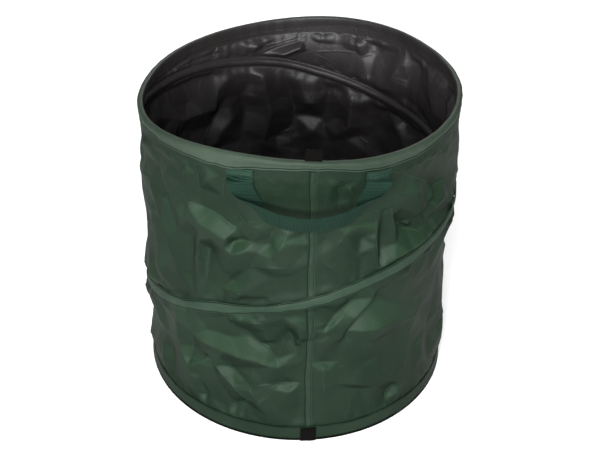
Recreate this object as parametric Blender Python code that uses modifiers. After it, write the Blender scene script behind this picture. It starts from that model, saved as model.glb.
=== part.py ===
"""Pop up leaf bag: a cloth cylinder that a steel spring wire holds open.

Units are metres and +Z is up. The bag stands on z = 0 with its axis through the
origin, and its front faces -Y. A turn is a place round the bag, counted from the
front towards +X: 0.25 is the right side, 0.5 the back and 0.75 the left side.
Every ring has the same facets, so nested rings keep their gaps all the way round.
"""

import math

import bmesh
import bpy
from mathutils import Matrix, Vector

# Driving sizes of the whole bag
BAG_DIAMETER = 0.560          # over the hems
BAG_HEIGHT = 0.555
CLEARANCE = 0.0003            # between pieces that touch
RING_FACETS = 60

# Cloth, webbing and steel
WALL_CLOTH = 0.0008
HEM_CLOTH = 0.0010
SLEEVE_CLOTH = 0.0008
CASING_CLOTH = 0.0008
SEAM_CLOTH = 0.0008
PANEL_CLOTH = 0.0012
BINDING_CLOTH = 0.0012
WEBBING = 0.0014
WIRE_DIAMETER = 0.0035

# Hems, one at each end of the wall
RIM_HEM_HEIGHT = 0.021
BASE_HEM_HEIGHT = 0.018
BINDING_HEIGHT = 0.004
HEM_CORNER_STEPS = 3

# Side wall: it is drawn in between the hoops and the spiral
WAIST_DEPTH = 0.011
WAIST_HALF_SPAN = 0.050
WAIST_ROW_SHARES = (0.08, 0.2, 0.32, 0.44, 0.56, 0.68, 0.8, 0.92)
ROW_SNAP = 0.003

# Main creases that the wall keeps from being folded: each line on the front is
# two places, as turns and shares of the bag's height, and a share of the rise
CREASE_RISE = 0.006
CREASE_HALF_WIDTH = 0.036
CREASE_FADE_SHARE = 0.45      # of a stretch's middle, towards its flat edges
FRONT_CREASE_SHARES = (
    ((-0.166, 0.750), (-0.155, 0.631), 0.7),
    ((-0.155, 0.631), (-0.143, 0.540), 0.6),
    ((-0.118, 0.791), (-0.077, 0.722), 1.0),
    ((-0.077, 0.722), (-0.071, 0.602), 0.7),
    ((-0.121, 0.900), (-0.120, 0.800), 0.6),
    ((-0.013, 0.786), (-0.032, 0.692), 0.7),
    ((-0.051, 0.647), (-0.010, 0.631), 0.5),
    ((0.014, 0.970), (0.032, 0.850), -0.4),
    ((0.033, 0.737), (0.071, 0.820), 0.8),
    ((0.071, 0.820), (0.070, 0.645), 0.6),
    ((0.074, 0.627), (0.139, 0.650), 1.0),
    ((0.089, 0.782), (0.124, 0.688), -0.4),
    ((0.110, 0.730), (0.178, 0.786), -0.4),
    ((-0.167, 0.348), (-0.109, 0.319), 0.9),
    ((-0.109, 0.319), (-0.025, 0.276), 0.9),
    ((-0.122, 0.409), (-0.034, 0.342), -0.3),
    ((-0.130, 0.305), (-0.127, 0.186), -0.4),
    ((-0.126, 0.180), (-0.120, 0.081), 0.7),
    ((-0.102, 0.274), (-0.055, 0.130), 0.8),
    ((-0.053, 0.173), (-0.032, 0.079), 0.8),
    ((0.072, 0.548), (0.039, 0.387), 1.0),
    ((0.049, 0.396), (0.132, 0.359), 0.9),
    ((0.063, 0.281), (0.106, 0.130), 0.7),
    ((0.022, 0.267), (0.022, 0.148), 0.5),
    ((-0.217, 0.238), (-0.188, 0.252), -0.4),
)

# Behind, they lie in an even scatter of short lines, turned against each other
BACK_CREASES = 56
BACK_CREASE_LENGTH = 0.090
BACK_CREASE_START_SHARE = 0.19
BACK_CREASE_SPREAD_SHARE = 0.62
BACK_CREASE_RISE_SHARES = (0.9, 0.6, -0.4)
GOLDEN_SHARE = 0.618
GOLDEN_ANGLE = math.radians(137.5)

# Spiral of the spring wire, from the base hoop up to the rim hoop: each entry
# is a turn and the share of the climb that the wire has made there
SPIRAL_CLIMB_SHARES = (
    (-0.69, 0.000),
    (-0.46, 0.154),
    (-0.231, 0.327),
    (0.00, 0.535),
    (0.08, 0.604),
    (0.16, 0.639),
    (0.32, 0.717),
    (0.42, 0.768),
    (0.55, 0.867),
    (0.70, 0.929),
    (0.79, 1.000),
)
CASING_WIDTH = 0.022
CASING_ARCH = 0.0012
FERRULE_LENGTH = 0.018
FERRULE_STEPS = 6
TUBE_RESOLUTION = 2
HOOP_RESOLUTION = 1

# Closing line: the side seam, the loop on the rim and the tab at the base
SEAM_OFFSET = 0.009           # to the right of the middle of the front handle
SEAM_WIDTH = 0.015
LOOP_WIDTH = 0.025
LOOP_HEIGHT = 0.021
LOOP_EYE = 0.007
LOOP_STEPS = 8
TAB_WIDTH = 0.025
TAB_HEIGHT = 0.033

# Carrying handles
HANDLE_SPACING = 0.215        # between the middles of one handle's two ends
HANDLE_OFFSET = 0.0065        # of a handle's middle, to the right seen from outside
HANDLE_WIDTH = 0.040
ANCHOR_HEIGHT = 0.012
FOLD_START = 0.007            # down the strap's outer edge, from the hinge line
FOLD_RADIUS = 0.006
FOLD_ROLL = math.radians(144)  # how far the strap turns over its crease
FOLD_STEPS = 8
BEND_STEPS = 8                # from the fold to the middle of the handle

# Meshes
WELD_DISTANCE = 0.00001
SMOOTH_ANGLE = math.radians(30)

# The spiral winds more than once round, so a place is looked up this many turns on
WHOLE_TURNS = (-2, -1, 0, 1)

# Radii, from the hem's outer face inwards
HEM_OUTER_RADIUS = BAG_DIAMETER / 2
WALL_RADIUS = HEM_OUTER_RADIUS - HEM_CLOTH - CLEARANCE
SLEEVE_RADIUS = WIRE_DIAMETER / 2 + CLEARANCE + SLEEVE_CLOTH
WIRE_RING_RADIUS = WALL_RADIUS - WALL_CLOTH - CLEARANCE - SLEEVE_RADIUS
CHANNEL_RADIUS = WIRE_RING_RADIUS - SLEEVE_RADIUS - CLEARANCE
HEM_INNER_RADIUS = CHANNEL_RADIUS - HEM_CLOTH
PANEL_RADIUS = HEM_INNER_RADIUS - CLEARANCE
HEM_CORNER = 2 * HEM_CLOTH

# Heights
WIRE_DEPTH_IN_HEM = HEM_CLOTH + CLEARANCE + SLEEVE_RADIUS
BASE_HOOP_HEIGHT = WIRE_DEPTH_IN_HEM
RIM_HOOP_HEIGHT = BAG_HEIGHT - WIRE_DEPTH_IN_HEM
WIRE_STEP = WIRE_DIAMETER + CLEARANCE
SPIRAL_LOW = BASE_HOOP_HEIGHT + WIRE_STEP
SPIRAL_HIGH = RIM_HOOP_HEIGHT - WIRE_STEP
RIM_HEM_BOTTOM = BAG_HEIGHT - RIM_HEM_HEIGHT
ANCHOR_TOP = RIM_HEM_BOTTOM - CLEARANCE
ANCHOR_BOTTOM = ANCHOR_TOP - ANCHOR_HEIGHT
LOWER_FLAT = BASE_HEM_HEIGHT + CLEARANCE
UPPER_FLAT = ANCHOR_BOTTOM - CLEARANCE
WALL_BOTTOM = HEM_CLOTH + CLEARANCE
WALL_TOP = BAG_HEIGHT - HEM_CLOTH - CLEARANCE


def clean_scene():
    """Removes every object, so that only the bag is left."""
    for item in list(bpy.data.objects):
        bpy.data.objects.remove(item, do_unlink=True)


def make_material(name, colour, roughness, metallic=0.0):
    """A plain surface with its colour in linear light."""
    material = bpy.data.materials.new(name)
    material.use_nodes = True
    surface = material.node_tree.nodes["Principled BSDF"]
    surface.inputs["Base Color"].default_value = (*colour, 1.0)
    surface.inputs["Roughness"].default_value = roughness
    surface.inputs["Metallic"].default_value = metallic
    return material


def add_object(name, data, material):
    """Puts a mesh or a curve in the bag's collection, with its material."""
    item = bpy.data.objects.new(name, data)
    bag_collection.objects.link(item)
    data.materials.append(material)
    return item


def mesh_from(name, shape):
    """Turns a bmesh into a mesh, with round faces smooth and edges sharp."""
    mesh = bpy.data.meshes.new(name)
    shape.to_mesh(mesh)
    shape.free()
    mesh.shade_smooth()
    mesh.set_sharp_from_angle(angle=SMOOTH_ANGLE)
    return mesh


def interpolate(table, place):
    """A smooth value from a table of (place, value), through each entry.

    Between two entries it is the cubic whose slopes there are those of the
    chords across the neighbouring entries. Past the ends it is a straight line.
    """
    places = [entry[0] for entry in table]
    values = [entry[1] for entry in table]
    last = len(table) - 1

    def chord(low, high):
        return (values[high] - values[low]) / (places[high] - places[low])

    if place <= places[0]:
        return values[0] + chord(0, last) * (place - places[0])
    if place >= places[last]:
        return values[last] + chord(0, last) * (place - places[last])
    low = max(index for index in range(last) if places[index] <= place)
    high = low + 1
    step = places[high] - places[low]
    share = (place - places[low]) / step
    low_slope = chord(max(low - 1, 0), high) * step
    high_slope = chord(low, min(high + 1, last)) * step
    rest = 1 - share
    return (
        values[low] * rest * rest * (1 + 2 * share)
        + low_slope * share * rest * rest
        + values[high] * share * share * (3 - 2 * share)
        - high_slope * share * share * rest
    )


def spiral_height(turn):
    """Height of the spiral wire at a turn, and of its line drawn on past its ends."""
    climb = interpolate(SPIRAL_CLIMB_SHARES, turn)
    return SPIRAL_LOW + climb * (SPIRAL_HIGH - SPIRAL_LOW)


def spiral_turns():
    """The turns of the spiral's stations, one at each edge between two facets."""
    first = math.ceil(SPIRAL_CLIMB_SHARES[0][0] * RING_FACETS)
    last = math.floor(SPIRAL_CLIMB_SHARES[-1][0] * RING_FACETS)
    return [step / RING_FACETS for step in range(first, last + 1)]


def facet_share(turn):
    """How far a ring's straight facet lies inside its circle at a turn."""
    half_facet = math.pi / RING_FACETS
    across = (turn * RING_FACETS) % 1 * 2 - 1
    return math.cos(half_facet) / math.cos(half_facet * across)


def ring_point(turn, radius, height):
    """A point on a faceted ring."""
    angle = 2 * math.pi * turn
    reach = radius * facet_share(turn)
    return Vector((reach * math.sin(angle), -reach * math.cos(angle), height))


def turn_at(across, radius):
    """The turn of a place on the front that lies so far to the right of the middle."""
    return math.asin(across / radius) / (2 * math.pi)


def crease_lines():
    """The wall's main creases: each one's two ends on the unrolled wall, and its rise."""
    girth = 2 * math.pi * WALL_RADIUS
    lines = [
        (
            Vector((start[0] * girth, start[1] * BAG_HEIGHT)),
            Vector((end[0] * girth, end[1] * BAG_HEIGHT)),
            rise * CREASE_RISE,
        )
        for start, end, rise in FRONT_CREASE_SHARES
    ]
    for number in range(BACK_CREASES):
        turn = BACK_CREASE_START_SHARE + BACK_CREASE_SPREAD_SHARE * (number * GOLDEN_SHARE % 1)
        middle = Vector((turn * girth, (number + 0.5) / BACK_CREASES * BAG_HEIGHT))
        angle = number * GOLDEN_ANGLE
        reach = Vector((math.cos(angle), math.sin(angle))) * BACK_CREASE_LENGTH / 2
        rise = BACK_CREASE_RISE_SHARES[number % len(BACK_CREASE_RISE_SHARES)]
        lines.append((middle - reach, middle + reach, rise * CREASE_RISE))
    return lines


def crease_rise(turn, height):
    """How far the wall's creases push it out at a place.

    A crease's rise falls evenly to nothing at its half width. The highest of
    those that stand out counts, with the deepest of those that lie in, and all
    of them flatten out towards the side seam.
    """
    girth = 2 * math.pi * WALL_RADIUS
    out = 0
    inwards = 0
    for start, end, rise in creases:
        side = round(turn - (start.x + end.x) / 2 / girth)
        place = Vector(((turn - side) * girth, height))
        along = end - start
        share = min(max((place - start).dot(along) / along.length_squared, 0), 1)
        away = (place - start - along * share).length
        push = rise * max(1 - away / CREASE_HALF_WIDTH, 0)
        out = max(out, push)
        inwards = min(inwards, push)
    from_seam = (turn - turn_at(SEAM_OFFSET, WALL_RADIUS) + 0.5) % 1 - 0.5
    beside = abs(from_seam) * girth - SEAM_WIDTH / 2
    return (out + inwards) * min(max(beside / CREASE_HALF_WIDTH, 0), 1)


def wall_radius(turn, height):
    """Outer radius of the side wall.

    It is full over the hems and under the spiral's casing. Between two of those
    it is drawn in by a parabola, deeper where the free cloth is taller, and it
    is creased there.
    """
    half_band = CASING_WIDTH / 2
    flats = [(0, LOWER_FLAT), (UPPER_FLAT, BAG_HEIGHT)]
    first_turn = SPIRAL_CLIMB_SHARES[0][0]
    last_turn = SPIRAL_CLIMB_SHARES[-1][0]
    for whole in WHOLE_TURNS:
        place = turn % 1 + whole
        if first_turn <= place <= last_turn:
            middle = spiral_height(place)
            flats.append((middle - half_band, middle + half_band))
    below = max(high for low, high in flats if low <= height)
    above = min(low for low, high in flats if high >= height)
    if below >= height or above <= height:
        return WALL_RADIUS
    span = above - below
    share = (height - below) / span
    freedom = span / (span + WAIST_HALF_SPAN)
    from_edges = 4 * share * (1 - share)
    crease = crease_rise(turn, height) * min(from_edges / CREASE_FADE_SHARE, 1)
    return WALL_RADIUS + freedom * (crease - WAIST_DEPTH * from_edges)


def wall_rows(turn, low, high):
    """Heights of the wall's rows at a turn, held between a low and a high.

    The rows run beside the spiral, at its casing's two edges and at shares of
    the cloth between one wind and the next.
    """
    half_band = CASING_WIDTH / 2
    rows = []
    for whole in WHOLE_TURNS:
        bottom = spiral_height(turn + whole) + half_band
        top = spiral_height(turn + whole + 1) - half_band
        rows.append(bottom)
        rows.extend(bottom + share * (top - bottom) for share in WAIST_ROW_SHARES)
        rows.append(top)
    held = []
    for row in rows:
        if row < low + ROW_SNAP:
            row = low
        if row > high - ROW_SNAP:
            row = high
        held.append(row)
    return held


def cloth(name, columns, rows_of, point_of, thickness, side, material):
    """A piece of cloth: a grid laid on a surface and thickened to one side.

    Rows that meet are welded, and side is 1 for outwards or -1 for inwards.
    """
    rows = [rows_of(column) for column in columns]
    last_column = len(columns) - 1
    last_row = len(rows[0]) - 1
    shape = bmesh.new()
    bmesh.ops.create_grid(shape, x_segments=last_column, y_segments=last_row, size=1)
    for point in shape.verts:
        column = round((point.co.x + 1) / 2 * last_column)
        row = round((point.co.y + 1) / 2 * last_row)
        point.co = point_of(columns[column], rows[column][row])
    bmesh.ops.remove_doubles(shape, verts=shape.verts[:], dist=WELD_DISTANCE)
    bmesh.ops.dissolve_degenerate(shape, edges=shape.edges[:], dist=WELD_DISTANCE)
    item = add_object(name, mesh_from(name, shape), material)
    layer = item.modifiers.new("thickness", "SOLIDIFY")
    layer.thickness = thickness
    layer.offset = side
    return item


def turned_ring(name, profile, material):
    """A ring turned from a closed profile of (radius, height) points.

    The profile runs down its outer side.
    """
    shape = bmesh.new()
    points = [shape.verts.new((radius, 0, height)) for radius, height in profile]
    for index, point in enumerate(points):
        shape.edges.new((point, points[(index + 1) % len(points)]))
    item = add_object(name, mesh_from(name, shape), material)
    turn = item.modifiers.new("turn", "SCREW")
    turn.steps = RING_FACETS
    turn.render_steps = RING_FACETS
    turn.use_merge_vertices = True
    turn.merge_threshold = WELD_DISTANCE
    return item


def tube(name, points, radius, resolution, closed, capped, material):
    """A round tube along a line of points."""
    data = bpy.data.curves.new(name, "CURVE")
    data.dimensions = "3D"
    data.twist_mode = "Z_UP"
    data.bevel_depth = radius
    data.bevel_resolution = resolution
    data.use_fill_caps = capped
    line = data.splines.new("POLY")
    line.points.add(len(points) - 1)
    for place, point in zip(line.points, points):
        place.co = (*point, 1)
    line.use_cyclic_u = closed
    return add_object(name, data, material)


def plate(name, outlines, width, material):
    """A flat shape of one outline with holes, as thick as the given width."""
    data = bpy.data.curves.new(name, "CURVE")
    data.dimensions = "2D"
    data.fill_mode = "BOTH"
    data.extrude = width / 2
    for outline in outlines:
        line = data.splines.new("POLY")
        line.points.add(len(outline) - 1)
        for place, point in zip(line.points, outline):
            place.co = (*point, 0, 1)
        line.use_cyclic_u = True
    return add_object(name, data, material)


def arc(middle, radius, start, end, steps):
    """Points along an arc, from one angle to another."""
    angles = [start + (end - start) * step / steps for step in range(steps + 1)]
    return [
        (middle[0] + radius * math.cos(angle), middle[1] + radius * math.sin(angle))
        for angle in angles
    ]


def add_base_panel():
    """The round floor, sewn inside the base hem. The bag stands on it."""
    shape = bmesh.new()
    bmesh.ops.create_cone(
        shape,
        cap_ends=True,
        segments=RING_FACETS,
        radius1=PANEL_RADIUS,
        radius2=PANEL_RADIUS,
        depth=PANEL_CLOTH,
    )
    item = add_object("base_panel", mesh_from("base_panel", shape), green_cloth)
    item.location.z = PANEL_CLOTH / 2


def hem_profile(edge, leg_end):
    """Profile of a hem folded over the wall's edge and the hoop.

    The fold is at the edge and both legs end at leg_end. It is drawn for the
    rim, and mirrored in height for the base.
    """
    up = 1 if edge > leg_end else -1
    ceiling = edge - up * HEM_CLOTH
    corner_height = edge - up * HEM_CORNER
    quarter = math.pi / 2
    outer_middle = (HEM_OUTER_RADIUS - HEM_CORNER, corner_height)
    inner_middle = (HEM_INNER_RADIUS + HEM_CORNER, corner_height)
    outer = arc(outer_middle, HEM_CORNER, up * quarter, 0, HEM_CORNER_STEPS)
    inner = arc(inner_middle, HEM_CORNER, math.pi, math.pi - up * quarter, HEM_CORNER_STEPS)
    profile = outer + [
        (HEM_OUTER_RADIUS, leg_end),
        (HEM_OUTER_RADIUS - HEM_CLOTH, leg_end),
        (HEM_OUTER_RADIUS - HEM_CLOTH, ceiling),
        (CHANNEL_RADIUS, ceiling),
        (CHANNEL_RADIUS, leg_end),
        (HEM_INNER_RADIUS, leg_end),
    ] + inner
    if up < 0:
        profile.reverse()
    return profile


def add_hems():
    """The two folded hems, and the dark binding round the foot of the bag."""
    turned_ring("rim_hem", hem_profile(BAG_HEIGHT, RIM_HEM_BOTTOM), hem_cloth)
    turned_ring("base_hem", hem_profile(0, BASE_HEM_HEIGHT), green_cloth)
    inside = HEM_OUTER_RADIUS + CLEARANCE
    outside = inside + BINDING_CLOTH
    profile = [
        (outside, BINDING_HEIGHT),
        (outside, CLEARANCE),
        (inside, CLEARANCE),
        (inside, BINDING_HEIGHT),
    ]
    turned_ring("base_binding", profile, black_webbing)


def add_wall():
    """The side wall, open at the top, with its upper and lower edges in the hems."""
    seam_edges = {turn % 1 for turn in seam_columns()}
    columns = sorted(seam_edges | {step / RING_FACETS for step in range(RING_FACETS)})
    columns.append(columns[0] + 1)

    def rows_of(turn):
        return [WALL_BOTTOM] + wall_rows(turn, LOWER_FLAT, UPPER_FLAT) + [WALL_TOP]

    def point_of(turn, height):
        return ring_point(turn, wall_radius(turn, height), height)

    cloth("bag_wall", columns, rows_of, point_of, WALL_CLOTH, -1, green_cloth)


def seam_columns():
    """Turns of the side seam's two edges, and of any facet's edge between them."""
    left = turn_at(SEAM_OFFSET - SEAM_WIDTH / 2, WALL_RADIUS)
    right = turn_at(SEAM_OFFSET + SEAM_WIDTH / 2, WALL_RADIUS)
    return facet_columns(left, right)


def facet_columns(left, right):
    """The two given turns, with the turns of the facets' edges between them."""
    first = math.floor(left * RING_FACETS) + 1
    last = math.ceil(right * RING_FACETS) - 1
    return [left] + [step / RING_FACETS for step in range(first, last + 1)] + [right]


def add_side_seam():
    """The side seam's flat fell, above and below the spiral's casing."""
    half_band = CASING_WIDTH / 2
    seam_turns = seam_columns()

    def upper_rows(turn):
        low = spiral_height(turn) + half_band + CLEARANCE
        rows = [max(row, low) for row in wall_rows(turn, LOWER_FLAT, UPPER_FLAT)]
        return rows + [RIM_HEM_BOTTOM - CLEARANCE]

    def lower_rows(turn):
        high = spiral_height(turn) - half_band - CLEARANCE
        return [min(row, high) for row in wall_rows(turn, LOWER_FLAT, UPPER_FLAT)]

    def point_of(turn, height):
        return ring_point(turn, wall_radius(turn, height) + CLEARANCE, height)

    for name, rows_of in (("side_seam_upper", upper_rows), ("side_seam_lower", lower_rows)):
        cloth(name, seam_turns, rows_of, point_of, SEAM_CLOTH, 1, green_cloth)


def add_spiral():
    """The spring wire, its sleeve inside the wall and its casing outside.

    The wire runs level over its first and its last facet, in the ferrules.
    """
    turns = spiral_turns()
    heights = [spiral_height(turn) for turn in turns]
    heights[:2] = [SPIRAL_LOW, SPIRAL_LOW]
    heights[-2:] = [SPIRAL_HIGH, SPIRAL_HIGH]
    wire_points = [
        ring_point(turn, WIRE_RING_RADIUS, height) for turn, height in zip(turns, heights)
    ]
    tube("spiral_wire", wire_points, WIRE_DIAMETER / 2, TUBE_RESOLUTION, False, True, steel)
    print_least_gap(wire_points)

    sleeve_low = LOWER_FLAT + SLEEVE_RADIUS + CLEARANCE
    sleeve_high = RIM_HEM_BOTTOM - SLEEVE_RADIUS - CLEARANCE
    sleeve_points = [point for point in wire_points if sleeve_low < point.z < sleeve_high]
    guide = tube(
        "sleeve_guide", sleeve_points, SLEEVE_RADIUS, TUBE_RESOLUTION, False, False, black_cloth
    )
    bpy.context.view_layer.update()
    depsgraph = bpy.context.evaluated_depsgraph_get()
    sleeve_mesh = bpy.data.meshes.new_from_object(guide.evaluated_get(depsgraph))
    bpy.data.objects.remove(guide)
    sleeve = bpy.data.objects.new("spiral_sleeve", sleeve_mesh)
    bag_collection.objects.link(sleeve)
    layer = sleeve.modifiers.new("thickness", "SOLIDIFY")
    layer.thickness = SLEEVE_CLOTH
    layer.offset = -1

    half_band = CASING_WIDTH / 2
    low = LOWER_FLAT + CLEARANCE
    high = RIM_HEM_BOTTOM - CLEARANCE

    def rows_of(turn):
        middle = spiral_height(turn)
        rows = (middle - half_band, middle, middle + half_band)
        return [min(max(row, low), high) for row in rows]

    def point_of(turn, height):
        across = (height - spiral_height(turn)) / half_band
        arch = CASING_ARCH * max(1 - across * across, 0)
        return ring_point(turn, WALL_RADIUS + CLEARANCE + arch, height)

    cased = [turn for turn in turns if rows_of(turn)[2] - rows_of(turn)[0] > half_band]
    cloth("spiral_casing", cased, rows_of, point_of, CASING_CLOTH, 1, green_cloth)


def print_least_gap(points):
    """Prints the least gap between one wind of the spiral wire and the next."""
    half_turn = RING_FACETS // 2
    distances = [
        (points[later] - points[earlier]).length
        for earlier in range(len(points))
        for later in range(earlier + half_turn, len(points))
    ]
    print("least gap between winds of the spiral wire, m:", min(distances) - WIRE_DIAMETER)


def add_hoops():
    """The rim hoop and the base hoop, each crimped to one end of the spiral."""
    turns = [step / RING_FACETS for step in range(RING_FACETS)]
    for name, height in (("base_hoop", BASE_HOOP_HEIGHT), ("rim_hoop", RIM_HOOP_HEIGHT)):
        points = [ring_point(turn, WIRE_RING_RADIUS, height) for turn in turns]
        tube(name, points, WIRE_DIAMETER / 2, HOOP_RESOLUTION, True, False, steel)


def slot_outline(radius, rise):
    """A slot standing on end: two half circles, a rise apart, and straight sides."""
    upper = arc((0, rise / 2), radius, 0, math.pi, FERRULE_STEPS)
    lower = arc((0, -rise / 2), radius, math.pi, 2 * math.pi, FERRULE_STEPS)
    return upper + lower


def add_ferrules():
    """Crimped ferrules that hold each end of the spiral against its hoop."""
    turns = spiral_turns()
    half_facet = 0.5 / RING_FACETS
    places = (
        ("base_ferrule", turns[0] + half_facet, BASE_HOOP_HEIGHT + WIRE_STEP / 2),
        ("rim_ferrule", turns[-1] - half_facet, RIM_HOOP_HEIGHT - WIRE_STEP / 2),
    )
    bore = WIRE_DIAMETER / 2 + CLEARANCE
    for name, turn, height in places:
        outlines = [slot_outline(SLEEVE_RADIUS, WIRE_STEP), slot_outline(bore, WIRE_STEP)]
        item = plate(name, outlines, FERRULE_LENGTH, steel)
        outwards = ring_point(turn, WIRE_RING_RADIUS, 0).normalized()
        upwards = Vector((0, 0, 1))
        turning = Matrix((outwards, upwards, outwards.cross(upwards))).transposed().to_4x4()
        place = ring_point(turn, WIRE_RING_RADIUS, height)
        item.matrix_world = Matrix.Translation(place) @ turning


def add_base_tab():
    """The webbing tab over the base hem, on the closing line."""
    left = turn_at(SEAM_OFFSET - TAB_WIDTH / 2, HEM_OUTER_RADIUS)
    right = turn_at(SEAM_OFFSET + TAB_WIDTH / 2, HEM_OUTER_RADIUS)
    radius = HEM_OUTER_RADIUS + CLEARANCE + BINDING_CLOTH + CLEARANCE

    def rows_of(turn):
        return [CLEARANCE, TAB_HEIGHT]

    def point_of(turn, height):
        return ring_point(turn, radius, height)

    cloth("base_tab", facet_columns(left, right), rows_of, point_of, WEBBING, 1, black_webbing)


def add_rim_loop():
    """The closing loop: webbing folded round an eye, standing on the rim hem.

    It turns about its foot, which is the origin of its outline.
    """
    foot = WEBBING
    eye = LOOP_EYE / 2
    head = eye + WEBBING
    head_height = LOOP_HEIGHT - foot - head
    slit = CLEARANCE / 2
    slit_height = foot + WEBBING
    outline = arc((0, head_height), head, 0, math.pi, LOOP_STEPS)
    outline += arc((0, 0), foot, math.pi, 2 * math.pi, LOOP_STEPS)
    hole = arc((0, head_height), eye, 0, math.pi, LOOP_STEPS)
    hole += [(-slit, slit_height), (slit, slit_height)]
    item = plate("rim_loop", [outline, hole], LOOP_WIDTH, black_webbing)
    inwards = Vector((0, 1, 0))
    upwards = Vector((0, 0, 1))
    turning = Matrix((inwards, upwards, inwards.cross(upwards))).transposed().to_4x4()
    foot_place = Vector(
        (SEAM_OFFSET, -(HEM_INNER_RADIUS + HEM_CORNER), BAG_HEIGHT + CLEARANCE + foot)
    )
    item.matrix_world = Matrix.Translation(foot_place) @ turning
    print("rim loop turns about", tuple(foot_place))


def strap_edges():
    """Half a handle's strap: points on its outer and its inner edge, in pairs.

    The webbing hangs from the hinge line, rolls over a crease and then bends
    evenly until it is level in the handle's middle. The crease slants so that
    the roll turns the webbing's width square to the handle's length.
    """
    half_width = HANDLE_WIDTH / 2
    slant = math.atan(math.sqrt(-math.cos(FOLD_ROLL)))
    crease = Vector((-math.sin(slant), 0, -math.cos(slant)))
    square = Vector((math.cos(slant), 0, -math.sin(slant)))
    outwards = Vector((0, -1, 0))
    crease_middle = Vector(
        (HANDLE_SPACING / 2, 0, -FOLD_START - half_width / math.tan(slant))
    )

    def rolled(past, inwards):
        """A point so far past the crease's first edge, in a line down the strap."""
        beside = (inwards + past * math.cos(slant)) / math.sin(slant)
        angle = min(past / FOLD_RADIUS, FOLD_ROLL)
        straight = past - FOLD_RADIUS * angle
        sideways = FOLD_RADIUS * math.sin(angle) + straight * math.cos(angle)
        out = FOLD_RADIUS * (1 - math.cos(angle)) + straight * math.sin(angle)
        return crease_middle + crease * beside + square * sideways + outwards * out

    turned = square * math.cos(FOLD_ROLL) + outwards * math.sin(FOLD_ROLL)
    leaving = crease * math.cos(slant) + turned * math.sin(slant)
    bend = math.acos(-leaving.x)
    rise = Vector((0, leaving.y, leaving.z)).normalized()
    rolled_length = FOLD_RADIUS * FOLD_ROLL
    lines = []
    for inwards in (-half_width, half_width):
        line = [Vector((HANDLE_SPACING / 2 - inwards, 0, 0))]
        line += [rolled(rolled_length * step / FOLD_STEPS, inwards) for step in range(FOLD_STEPS + 1)]
        end = rolled(rolled_length + (half_width - inwards) * math.cos(slant), inwards)
        bend_radius = end.x / math.sin(bend)
        for step in range(BEND_STEPS + 1):
            left = bend * (1 - step / BEND_STEPS)
            across = bend_radius * math.sin(left)
            along = bend_radius * (math.cos(left) - math.cos(bend))
            line.append(Vector((across, end.y, end.z)) + rise * along)
        lines.append(line)
    return list(zip(*lines))


def add_handles():
    """The front and back handles, and the folded ends that the rim hem holds.

    A handle's strap turns about the level line through its two upper ends, and
    its origin is on that line. It hangs from them with its face outwards, and each
    side is folded over towards the middle.
    """
    half_spacing = HANDLE_SPACING / 2
    half_width = HANDLE_WIDTH / 2
    anchor_thickness = 2 * WEBBING
    anchor_radius = WALL_RADIUS + CLEARANCE
    anchor_face = anchor_radius + anchor_thickness
    inner_edge = half_spacing - half_width
    pivot_reach = math.sqrt(anchor_face**2 - inner_edge**2) + CLEARANCE + WEBBING / 2
    pivot_height = ANCHOR_BOTTOM - CLEARANCE
    offset_turn = turn_at(HANDLE_OFFSET, anchor_face)
    anchor_turn = turn_at(half_spacing, anchor_face)
    half_turn = turn_at(half_width, anchor_face)

    def anchor_rows(turn):
        return [ANCHOR_BOTTOM, ANCHOR_TOP]

    def anchor_point(turn, height):
        return ring_point(turn, anchor_radius, height)

    edges = strap_edges()
    last_station = len(edges) - 1
    places = list(range(-last_station, last_station + 1))

    def strap_rows(place):
        return [0, 1]

    def strap_point(place, edge):
        point = edges[last_station - abs(place)][edge]
        return Vector((math.copysign(point.x, place), point.y, point.z))

    for side, side_turn in (("front", offset_turn), ("back", 0.5 + offset_turn)):
        for end, end_turn in (("left", -anchor_turn), ("right", anchor_turn)):
            middle = side_turn + end_turn
            cloth(
                "handle_end_" + side + "_" + end,
                facet_columns(middle - half_turn, middle + half_turn),
                anchor_rows,
                anchor_point,
                anchor_thickness,
                1,
                green_webbing,
            )
        strap = cloth("handle_" + side, places, strap_rows, strap_point, WEBBING, 0, green_webbing)
        facing = Matrix.Rotation(2 * math.pi * side_turn, 4, "Z")
        strap.matrix_world = facing @ Matrix.Translation((0, -pivot_reach, pivot_height))
        print(strap.name, "turns about", tuple(strap.matrix_world.translation))
        print("and its hinge points along", tuple(facing.to_3x3() @ Vector((-1, 0, 0))))


clean_scene()
bag_collection = bpy.data.collections.new("pop_up_leaf_bag")
bpy.context.scene.collection.children.link(bag_collection)

green_cloth = make_material("green_cloth", (0.035, 0.065, 0.038), 0.45)
hem_cloth = make_material("hem_cloth", (0.075, 0.115, 0.080), 0.50)
black_cloth = make_material("black_cloth", (0.012, 0.011, 0.011), 0.50)
green_webbing = make_material("green_webbing", (0.022, 0.045, 0.032), 0.75)
black_webbing = make_material("black_webbing", (0.010, 0.008, 0.008), 0.75)
steel = make_material("steel", (0.45, 0.46, 0.47), 0.35, 1.0)

creases = crease_lines()

add_base_panel()
add_hems()
add_wall()
add_side_seam()
add_spiral()
add_hoops()
add_ferrules()
add_base_tab()
add_rim_loop()
add_handles()
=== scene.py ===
"""A pop up leaf bag: a cloth cylinder that a steel spring wire holds open.

Units are metres, +Z is up and the bag's front faces -Y. A turn is a place round
the bag, counted from the front towards the right, so 0.5 is the back.
"""

import math

import bmesh
import bpy
import numpy as np
from mathutils import Matrix, Vector
from mathutils.geometry import delaunay_2d_cdt


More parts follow.
